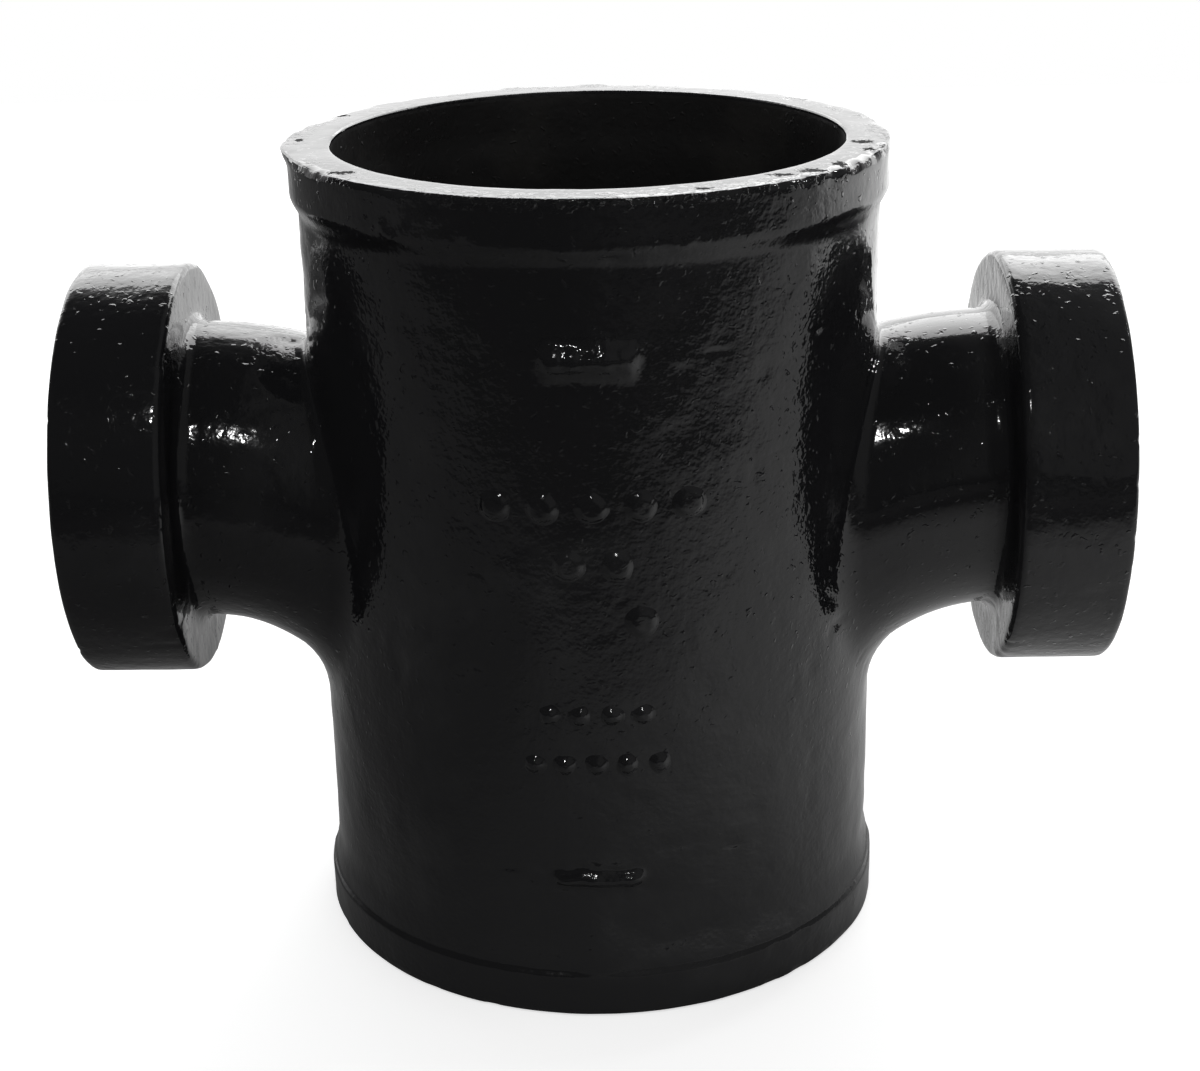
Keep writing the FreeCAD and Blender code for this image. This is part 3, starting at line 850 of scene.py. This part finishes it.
def feed(tree, value, socket):
    """Puts a number or a row of numbers on the socket, or wires another socket to it."""
    if isinstance(value, (int, float, tuple)):
        socket.default_value = value
    else:
        tree.links.new(value, socket)


def math_node(tree, operation, first, second):
    """A math node between two sockets or numbers; gives its result socket."""
    made = node(tree, "Math", operation=operation)
    feed(tree, first, made.inputs[0])
    feed(tree, second, made.inputs[1])
    return made.outputs[0]


def times(tree, first, *others):
    """The product of sockets and numbers, with one math node for each further factor."""
    for other in others:
        first = math_node(tree, "MULTIPLY", first, other)
    return first


def vector_node(tree, operation, first, second):
    """A vector math node between two vectors; gives its result socket."""
    made = node(tree, "VectorMath", operation=operation)
    feed(tree, first, made.inputs[0])
    feed(tree, second, made.inputs[1])
    return made.outputs[0]


def length_of(tree, vector):
    """The length of a vector."""
    made = node(tree, "VectorMath", operation="LENGTH")
    tree.links.new(vector, made.inputs[0])
    return made.outputs["Value"]


def noise_node(tree, place, scale, detail, roughness):
    """A noise whose hills are one over the scale wide; the scale may be a socket."""
    made = node(tree, "TexNoise")
    made.inputs["Detail"].default_value = detail
    made.inputs["Roughness"].default_value = roughness
    feed(tree, scale, made.inputs["Scale"])
    tree.links.new(place, made.inputs["Vector"])
    return made.outputs["Fac"]


def ranged(tree, value, from_low, from_high, to_low, to_high):
    """Maps one range to another, held at its ends; the new ends may be sockets."""
    made = node(tree, "MapRange")
    made.inputs["From Min"].default_value = from_low
    made.inputs["From Max"].default_value = from_high
    feed(tree, to_low, made.inputs["To Min"])
    feed(tree, to_high, made.inputs["To Max"])
    tree.links.new(value, made.inputs["Value"])
    return made.outputs["Result"]


def band(tree, value, rise, fall, level=1.0):
    """The level between two fades: it grows from 0 over the rise and goes over the fall."""
    return times(tree, ranged(tree, value, *rise, 0.0, level), ranged(tree, value, *fall, 1.0, 0.0))


# %% [markdown]
# ### Pebbles and orange peel
#
# Two noises are added: the wide pebbles of the sand, and the narrow peel of the coat.
# Necks and bosses are calmer than the barrel.  So the peel fades with the distance from
# the middle plane, and the pebbles are lower close beside the barrel and on the right
# neck.  The places in the group are in metres.

# %% Pebbles and peel
PER_METRE = 1000.0
group_in = grain.nodes.new("NodeGroupInput").outputs
group_out = grain.nodes.new("NodeGroupOutput").inputs
place = node(grain, "TexCoord").outputs["Object"]
axis = node(grain, "SeparateXYZ")
grain.links.new(place, axis.inputs[0])
rightwards, upwards = axis.outputs["X"], axis.outputs["Z"]
sideways = math_node(grain, "ABSOLUTE", rightwards, 0.0)

pebble_scale = math_node(grain, "DIVIDE", PER_METRE, group_in["Pebble Size"])
peel_scale = math_node(grain, "DIVIDE", PER_METRE, group_in["Peel Size"])
pebble = noise_node(grain, place, pebble_scale, 2.0, 0.45)
peel = noise_node(grain, place, peel_scale, 1.0, 0.4)
peel_share = math_node(grain, "SUBTRACT", 1.0, group_in["Pebble Share"])
calm_peel = times(grain, ranged(grain, sideways, 0.042, 0.051, 1.0, 0.22),
                  ranged(grain, sideways, 0.054, 0.064, 1.0, 0.55))
beside_barrel = band(grain, sideways, (0.042, 0.051), (0.056, 0.060), 0.55)
smoother_neck = band(grain, rightwards, (0.058, 0.063), (0.074, 0.078), 0.85)
calm_pebble = math_node(grain, "SUBTRACT", 1.0,
                        math_node(grain, "ADD", beside_barrel, smoother_neck))
pebble_part = times(grain, pebble, group_in["Pebble Share"], calm_pebble)
peel_part = times(grain, peel, peel_share, calm_peel)
skin_height = math_node(grain, "ADD", pebble_part, peel_part)
print("cast_grain nodes after pebbles and peel:", len(grain.nodes))

# %% [markdown]
# ### Pits and beads
#
# Small round spots break the gloss: most stand out, some sink in.  They are the middles
# of random cells, and only the cells of some random colours have one.  The place is
# shaken a little first, so that the spots aren't perfect discs.  They grow stronger
# towards the top and on the bosses, where the coat was thinnest.

# %% Spots
SPOT_SCALE, SHAKE_SCALE, SHAKE = 660.0, 400.0, 0.004
shaker = node(grain, "TexNoise")
shaker.inputs["Scale"].default_value = SHAKE_SCALE
grain.links.new(place, shaker.inputs["Vector"])
shift = vector_node(grain, "MULTIPLY", shaker.outputs["Color"], (SHAKE, SHAKE, SHAKE))
spot_cells = node(grain, "TexVoronoi")
spot_cells.inputs["Scale"].default_value = SPOT_SCALE
grain.links.new(vector_node(grain, "ADD", place, shift), spot_cells.inputs["Vector"])
spot_kind = node(grain, "SeparateColor")
grain.links.new(spot_cells.outputs["Color"], spot_kind.inputs[0])
disc = ranged(grain, spot_cells.outputs["Distance"], 0.06, 0.36, 1.0, 0.0)
chosen = ranged(grain, spot_kind.outputs[0], 0.35, 0.4, 0.0, 1.0)
in_or_out = ranged(grain, spot_kind.outputs[1], 0.0, 1.0, -0.4, 0.8)
spotty = math_node(grain, "ADD", ranged(grain, upwards, 0.030, 0.075, 0.25, 0.75),
                   ranged(grain, sideways, 0.0775, 0.0805, 0.0, 0.4))
spot = times(grain, disc, chosen, in_or_out, spotty)
sawn = ranged(grain, upwards, 0.1574, 0.1584, 1.0, 0.4)
coat_height = times(grain, math_node(grain, "ADD", skin_height, spot), sawn)
print("cast_grain nodes after the spots:", len(grain.nodes))

# %% [markdown]
# ### Torn coat along the rim's edge
#
# The cut edge of the rim is ragged on a scale of tenths of a millimetre, too small for
# the mesh.  A sharp noise makes flakes there, in patches, and stronger on the right.

# %% Torn edge
FLAKE_HEIGHT = 1.8
flat_place = vector_node(grain, "MULTIPLY", place, (1.0, 1.0, 0.0))
from_axis = length_of(grain, flat_place)
at_edge = times(grain, ranged(grain, from_axis, 0.0525, 0.0564, 0.0, 1.0),
                ranged(grain, upwards, 0.1568, 0.1584, 0.0, 1.0))
torn_side = ranged(grain, rightwards, -0.025, 0.045, 0.4, 1.0)
flakes = ranged(grain, noise_node(grain, place, 620.0, 2.0, 0.6), 0.53, 0.57, 0.0, 1.0)
torn_patch = ranged(grain, noise_node(grain, place, 90.0, 1.0, 0.5), 0.46, 0.56, 0.0, 1.0)
torn_patch = math_node(grain, "MAXIMUM", torn_patch,
                       ranged(grain, sideways, 0.012, 0.020, 1.0, 0.0))
torn = times(grain, times(grain, flakes, torn_patch), times(grain, at_edge, torn_side))
chips = times(grain, torn, FLAKE_HEIGHT)
print("cast_grain nodes after the torn edge:", len(grain.nodes))

# %% [markdown]
# ### Scores on the cut face
#
# The saw left a few short scores on the rim's flat face, where the coat is dull and dark.
# Each is an oval with a ragged border: the distance from its middle, counted in its half
# widths, plus a noise, is below one inside it.  They only show on the flat face.

# %% Scores: middle x, middle y, half width x, half width y in millimetres
RIM_SCORES = [(51.1, -12.0, 1.9, 1.7), (51.4, -19.0, 1.3, 1.3), (39.5, -37.0, 2.6, 1.5),
              (34.0, -40.5, 2.4, 1.2), (45.0, -31.5, 1.2, 1.8), (-43.5, -32.0, 2.8, 1.3),
              (-55.0, -1.0, 0.9, 1.4), (20.0, -50.5, 1.6, 0.9), (-50.0, 25.0, 1.6, 1.6)]
SCORE_DEEP, SCORE_DULL = 1.6, 0.9
ragged = ranged(grain, noise_node(grain, place, 900.0, 3.0, 0.65), 0.3, 0.7, -0.7, 0.7)
scores = 0.0
for middle_x, middle_y, half_x, half_y in RIM_SCORES:
    from_middle = vector_node(grain, "SUBTRACT", flat_place, (middle_x * MM, middle_y * MM, 0.0))
    in_halves = vector_node(grain, "MULTIPLY", from_middle,
                            (1.0 / (half_x * MM), 1.0 / (half_y * MM), 0.0))
    border = math_node(grain, "ADD", length_of(grain, in_halves), ragged)
    scores = math_node(grain, "MAXIMUM", ranged(grain, border, 0.8, 1.0, 1.0, 0.0), scores)
on_cut = times(grain, ranged(grain, upwards, 0.1582, 0.1585, 0.0, 1.0),
               ranged(grain, from_axis, 0.0492, 0.0496, 0.0, 1.0))
scores = times(grain, scores, on_cut)
chips = math_node(grain, "SUBTRACT", chips, times(grain, scores, SCORE_DEEP))
print("scores on the rim:", len(RIM_SCORES))

# %% [markdown]
# ### Beads under the front edge
#
# Drops of coat hardened just under the rim's front edge and glint as small points.  A
# fine noise with its low parts cut off gives them, in a narrow belt round the bead that
# ends a few centimetres to each side.

# %% Beads of coat
BEADS = 2.6
beading = ranged(grain, noise_node(grain, place, 760.0, 1.0, 0.5), 0.55, 0.68, 0.0, BEADS)
under_edge = times(grain, ranged(grain, upwards, 0.1562, 0.1570, 0.0, 1.0),
                   ranged(grain, sideways, 0.018, 0.028, 1.0, 0.0))
on_bead = ranged(grain, from_axis, 0.0568, 0.0571, 0.0, 1.0)
chips = math_node(grain, "ADD", chips, times(grain, beading, under_edge, on_bead))
grain.links.new(math_node(grain, "ADD", coat_height, chips), group_out["Height"])
print("cast_grain nodes after the beads:", len(grain.nodes))

# %% [markdown]
# ### Roughness and dust
#
# A wide noise makes the gloss uneven.  The coat lies duller in the creases beside both
# beads and in the scores, and a thin dust shows where the wide noise is high.

# %% Roughness and dust
CREASE_DULL = 0.16
patchy = noise_node(grain, place, 45.0, 3.0, 0.6)
upper_crease = band(grain, upwards, (0.1435, 0.1465), (0.1485, 0.1512))
lower_crease = band(grain, upwards, (0.0070, 0.0084), (0.0096, 0.0125))
crease = math_node(grain, "ADD", upper_crease, lower_crease)
hazy = math_node(grain, "ADD", times(grain, crease, CREASE_DULL), times(grain, scores, SCORE_DULL))
smooth_or_dull = ranged(grain, patchy, 0.38, 0.62, group_in["Low Roughness"],
                        group_in["High Roughness"])
grain.links.new(math_node(grain, "ADD", smooth_or_dull, hazy), group_out["Roughness"])
grain.links.new(ranged(grain, patchy, 0.55, 0.8, 0.0, 1.0), group_out["Dust"])
print("cast_grain nodes:", len(grain.nodes))

# %% [markdown]
# ## Three coats
#
# The outside has the thick gloss.  Inside, the coat ran thin and dried duller, and its
# colour is a little lighter, a painted lift that stands in for light in the dim bore; on the
# threads it is thinner still, with a trace of brown.  The colour, the roughness and the
# bump come from the group.  The refractive index is one number for each coat, so it is set
# on the shader itself.

# %% Coat materials
def coat_material(name, colour, dusty, sizes, bump_depth, ior):
    """A coated iron material: grain into colour, roughness and bump of a glossy shader."""
    material = bpy.data.materials.new(name)
    material.use_nodes = True
    tree = material.node_tree
    shader = tree.nodes["Principled BSDF"]
    shader.inputs["IOR"].default_value = ior
    placed = node(tree, "Group", node_tree=grain)
    for socket_name, value in sizes.items():
        placed.inputs[socket_name].default_value = value
    blend = node(tree, "Mix", data_type="RGBA")
    blend.inputs["A"].default_value = (*colour, 1.0)
    blend.inputs["B"].default_value = (*dusty, 1.0)
    tree.links.new(placed.outputs["Dust"], blend.inputs["Factor"])
    tree.links.new(blend.outputs["Result"], shader.inputs["Base Color"])
    tree.links.new(placed.outputs["Roughness"], shader.inputs["Roughness"])
    bump = node(tree, "Bump")
    bump.inputs["Strength"].default_value = 1.0
    bump.inputs["Distance"].default_value = bump_depth
    tree.links.new(placed.outputs["Height"], bump.inputs["Height"])
    tree.links.new(bump.outputs["Normal"], shader.inputs["Normal"])
    print("material:", name)
    return material


black_coat = coat_material(
    "black_dip_coat", (0.012, 0.012, 0.013), (0.022, 0.022, 0.023),
    {"Pebble Size": 2.2, "Peel Size": 0.9, "Pebble Share": 0.66,
     "Low Roughness": 0.05, "High Roughness": 0.12}, 0.00019, 1.55)
# Inside coat: duller, and a little lighter in colour as a painted lift that stands in for light in
# the dim bore.
dull_inside_coat_painted_lift = coat_material(
    "thin_inside_coat_painted_lift", (0.016, 0.0155, 0.0155), (0.028, 0.026, 0.024),
    {"Pebble Size": 3.6, "Peel Size": 1.3, "Pebble Share": 0.6,
     "Low Roughness": 0.26, "High Roughness": 0.42}, 0.00024, 1.5)
thread_coat = coat_material(
    "thin_coat_on_threads", (0.020, 0.018, 0.016), (0.045, 0.032, 0.024),
    {"Pebble Size": 1.6, "Peel Size": 0.6, "Pebble Share": 0.5,
     "Low Roughness": 0.28, "High Roughness": 0.5}, 0.00005, 1.5)

# %% [markdown]
# ## The pieces
#
# The skin takes the place of the solid casting.  Edges sharper than about forty degrees
# stay crisp, which keeps the threads cut.  Faces in the tappings get the thinnest coat,
# and those of the bore and the waterways the thin inside one, whose lighter colour is a
# painted lift.  The middle of each face tells where it belongs, by the same formulas that
# made the surfaces.

# %% Pieces
SHARP_FROM = 42.0


def piece(name, mesh, materials):
    """An object at the origin, smooth except at its sharp edges, that rides on the root."""
    mesh.shade_smooth()
    mesh.set_sharp_from_angle(angle=np.radians(SHARP_FROM))
    made = bpy.data.objects.new(name, mesh)
    bpy.context.collection.objects.link(made)
    for material in materials:
        mesh.materials.append(material)
    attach(made, "root")
    return made


casting = piece("cross_casting", skin, [black_coat, thread_coat, dull_inside_coat_painted_lift])
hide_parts("casting")
marks = piece("foundry_pips", pips, [black_coat])
print("pieces:", casting.name, marks.name)

# %% Which coat each face has
middles = np.zeros(len(skin.polygons) * 3)
skin.polygons.foreach_get("center", middles)
x, y, z = middles.reshape(-1, 3).T / MM
x = np.abs(x)
in_tapping = (x > BOSS_X) & (x < THREAD_START + 0.2) & (np.hypot(y, z - INLET_Z) < MOUTH_R)
in_bore = (np.hypot(x, y) < BORE_R + 0.3) & (np.minimum(z, HEIGHT - z) > 1.2)
from_bend = np.hypot(x - BOSS_X, z - BEND_Z) - BEND_R
in_waterway = ((x <= BOSS_X) & (z > BEND_Z)
               & (np.hypot(from_bend, y) < (NECK_R + WATERWAY_R) / 2))
coat_number = np.where(in_tapping, 1, np.where(in_bore | in_waterway, 2, 0))
skin.polygons.foreach_set("material_index", coat_number.astype(np.int32))
skin.update()
print("faces in the tappings:", int(in_tapping.sum()),
      "in the bore and waterways:", int((in_bore | in_waterway).sum()))

# %% [markdown]
# ## The stage
#
# The floor is a pale sheet on a darker bench; the bench's dark colour is painted shade.  A
# black glossy thing shows what stands round it more than its own colour, so the sheet's
# front edge matters: the front of the barrel mirrors it as a bright foot under a dark
# band.  The floor looks white to the camera and keeps the shadow of the casting.

# %% Floor
FLOOR_HALF, FLOOR_BACK, FLOOR_DROP = 2.5, 0.98, 0.0002
floor_mesh = bpy.data.meshes.new("studio_floor")
floor_mesh.from_pydata([(-FLOOR_HALF, -FLOOR_HALF, 0), (FLOOR_HALF, -FLOOR_HALF, 0),
                        (FLOOR_HALF, FLOOR_BACK, 0), (-FLOOR_HALF, FLOOR_BACK, 0)],
                       [], [(0, 1, 2, 3)])
floor = bpy.data.objects.new("studio_floor", floor_mesh)
floor.location.z = -FLOOR_DROP
bpy.context.collection.objects.link(floor)
paper = bpy.data.materials.new("pale_sheet")
paper.use_nodes = True
tree = paper.node_tree
tree.nodes.clear()
floor_mesh.materials.append(paper)
print("floor:", 2 * FLOOR_HALF, "m wide")

# %% [markdown]
# ### What the casting mirrors of the floor
#
# The sheet's colour is darker on the left than on the right, a painted shade, and its front
# edge is bowed and soft.  The bench in front of it is nearly black, a painted shade that the
# casting's front mirrors as a dark band, and far out to the front right it is a little
# paler, a painted light.  At the far right behind, the sheet glows with painted light, an
# emission and no lamp.  The camera sees none of these tones.

# %% Tones of the sheet and the bench
SHEET_FRONT = -0.235
# Painted shade and light in the floor's colour, seen only in reflections: the darker left of the
# sheet and the near-black bench are painted shade, the paler far bench is painted light.
PAINTED_SHADE_LEFT_TONE, RIGHT_TONE = 0.16, 0.68
PAINTED_SHADE_BENCH_TONE, PAINTED_LIGHT_FAR_TONE = 0.05, 0.13
BLACK, WHITE = (0.0, 0.0, 0.0, 1.0), (1.0, 1.0, 1.0, 1.0)
where = node(tree, "SeparateXYZ")
tree.links.new(node(tree, "TexCoord").outputs["Object"], where.inputs[0])
to_right, to_back = where.outputs["X"], where.outputs["Y"]
aside = ranged(tree, math_node(tree, "ABSOLUTE", to_right, 0.0), 0.0, 0.16, 0.0, 0.05)
bowed = math_node(tree, "ADD", to_back, aside)
softness = ranged(tree, to_right, -0.04, 0.10, 0.04, 0.11)
from_edge = math_node(tree, "DIVIDE", math_node(tree, "SUBTRACT", bowed, SHEET_FRONT), softness)
on_sheet = ranged(tree, from_edge, -1.0, 1.0, 0.0, 1.0)
slanted = math_node(tree, "ADD", to_right, ranged(tree, to_back, 0.0, 0.3, 0.0, 0.3))
shade = ranged(tree, slanted, -0.11, 0.15, PAINTED_SHADE_LEFT_TONE, RIGHT_TONE)
painted_light_far_bench = ranged(tree, to_right, -0.1, 0.2, PAINTED_SHADE_BENCH_TONE, PAINTED_LIGHT_FAR_TONE)
painted_shade_bench = ranged(tree, to_back, -0.70, -0.45, painted_light_far_bench, PAINTED_SHADE_BENCH_TONE)
tone = node(tree, "Mix", data_type="RGBA")
tone.inputs["A"].default_value = BLACK
tone.inputs["B"].default_value = WHITE
tree.links.new(ranged(tree, on_sheet, 0.0, 1.0, painted_shade_bench, shade), tone.inputs["Factor"])
sheet = node(tree, "BsdfDiffuse")
tree.links.new(tone.outputs["Result"], sheet.inputs["Color"])
print("sheet's front edge at y", SHEET_FRONT, "m")

# %% The painted glow at the far right
# Painted light: an emission on the sheet, no lamp, which the right side of the casting mirrors.
PAINTED_GLOW_TONE = 0.8
far_right = times(tree, ranged(tree, slanted, 0.2, 0.55, 0.0, 1.0),
                  ranged(tree, to_back, 0.0, 0.2, 0.0, 1.0))
lit = node(tree, "Mix", data_type="RGBA")
lit.inputs["A"].default_value = BLACK
lit.inputs["B"].default_value = (PAINTED_GLOW_TONE, PAINTED_GLOW_TONE, PAINTED_GLOW_TONE, 1.0)
tree.links.new(far_right, lit.inputs["Factor"])
painted_glow = node(tree, "Emission")
tree.links.new(lit.outputs["Result"], painted_glow.inputs["Color"])
sheet_and_painted_glow = node(tree, "AddShader")
tree.links.new(sheet.outputs[0], sheet_and_painted_glow.inputs[0])
tree.links.new(painted_glow.outputs[0], sheet_and_painted_glow.inputs[1])
print("lit part's strength:", PAINTED_GLOW_TONE)

# %% [markdown]
# ### What the camera sees of the floor
#
# To the camera the floor is one pale sheet that also glows a little.  Its own colour takes
# the casting's shadow, and the glow lifts the rest to the white of the background.  No
# lamp is raised for it, so the casting isn't lit more than before.

# %% Floor to the camera
SEEN_TONE, SEEN_GLOW = 0.75, 0.64
path = node(tree, "LightPath").outputs
seen = node(tree, "BsdfDiffuse")
seen.inputs["Color"].default_value = (SEEN_TONE, SEEN_TONE, SEEN_TONE, 1.0)
glow = node(tree, "Emission")
glow.inputs["Color"].default_value = WHITE
glow.inputs["Strength"].default_value = SEEN_GLOW
white = node(tree, "AddShader")
tree.links.new(seen.outputs[0], white.inputs[0])
tree.links.new(glow.outputs[0], white.inputs[1])
choose = node(tree, "MixShader")
tree.links.new(path["Is Camera Ray"], choose.inputs[0])
tree.links.new(sheet_and_painted_glow.outputs[0], choose.inputs[1])
tree.links.new(white.outputs[0], choose.inputs[2])
output = node(tree, "OutputMaterial")
tree.links.new(choose.outputs[0], output.inputs["Surface"])
print("floor material nodes:", len(tree.nodes))

# %% [markdown]
# ## The studio round it
#
# Behind the casting hangs a broad white panel, in front is a dark room.  To the camera
# the world is plain white.  To glossy rays it is white behind, up to about the height of
# the panel, and dark in front and overhead, with a faint ceiling that is a little
# brighter on the right.  To the floor and everything dull it is an even soft light.

# %% World
DIM_FRONT, DIM_HIGH, EVEN_LIGHT = 0.02, 0.1, 0.45
CEILING_LEFT, CEILING_RIGHT = 0.015, 0.11
world = bpy.data.worlds.new("studio")
bpy.context.scene.world = world
world.use_nodes = True
tree = world.node_tree
tree.nodes.clear()
path = node(tree, "LightPath").outputs
way = node(tree, "SeparateXYZ")
tree.links.new(node(tree, "TexCoord").outputs["Generated"], way.inputs[0])
behind = ranged(tree, way.outputs["Y"], 0.40, 0.72, DIM_FRONT, 1.0)
lowness = ranged(tree, way.outputs["Z"], 0.62, 0.78, 1.0, DIM_HIGH)
ceiling = times(tree, ranged(tree, way.outputs["Z"], -0.02, 0.10, 0.0, 1.0),
                ranged(tree, way.outputs["X"], 0.0, 0.2, CEILING_LEFT, CEILING_RIGHT))
mirrored = math_node(tree, "ADD", times(tree, behind, lowness), ceiling)
dull = times(tree, path["Is Diffuse Ray"], EVEN_LIGHT)
gloss = times(tree, path["Is Glossy Ray"], mirrored)
plain = math_node(tree, "ADD", path["Is Camera Ray"], path["Is Transmission Ray"])
level_out = math_node(tree, "ADD", math_node(tree, "ADD", dull, gloss), plain)
background = node(tree, "Background")
background.inputs["Color"].default_value = WHITE
tree.links.new(level_out, background.inputs["Strength"])
output = node(tree, "OutputWorld")
tree.links.new(background.outputs[0], output.inputs["Surface"])
print("world nodes:", len(tree.nodes))

# %% [markdown]
# ## The lamps
#
# Three soft panels hang behind the casting, and the rim, the bosses and the wet edges
# mirror them.  Two small sparks, one in front and one at the right, give the points of
# light on the pebbled coat.  Each lamp is set by its radiance, the brightness that a
# mirror would show, because a glossy black shows that and not the lamp's power.

# %% Lamps
def panel(name, at, aim, wide, high, radiance):
    """A soft rectangular lamp; its power is pi times its area times its radiance."""
    lamp = bpy.data.lights.new(name, "AREA")
    lamp.shape = "RECTANGLE"
    lamp.size, lamp.size_y = wide, high
    lamp.energy = np.pi * wide * high * radiance
    made = bpy.data.objects.new(name, lamp)
    made.location = at
    made.rotation_euler = (Vector(aim) - Vector(at)).to_track_quat("-Z", "Y").to_euler()
    made.visible_camera = False
    bpy.context.collection.objects.link(made)
    print("lamp:", name, round(lamp.energy, 2), "watts")


panel("low_back_panel", (0.0, 1.0, 0.22), (0.0, 0.0, 0.22), 2.2, 0.44, 0.85)
panel("high_left_panel", (-0.55, 1.0, 0.74), (-0.55, 0.0, 0.74), 1.1, 0.6, 2.1)
panel("high_right_panel", (0.55, 1.0, 0.94), (0.55, 0.0, 0.94), 1.1, 1.0, 3.2)
panel("front_spark", (-0.095, -0.70, 0.79), (0.0, 0.0, 0.09), 0.03, 0.024, 210.0)
panel("side_spark", (0.69, 0.15, 0.67), (0.05, -0.03, 0.12), 0.03, 0.03, 160.0)

# %% View settings
bpy.context.scene.view_settings.view_transform = "Standard"
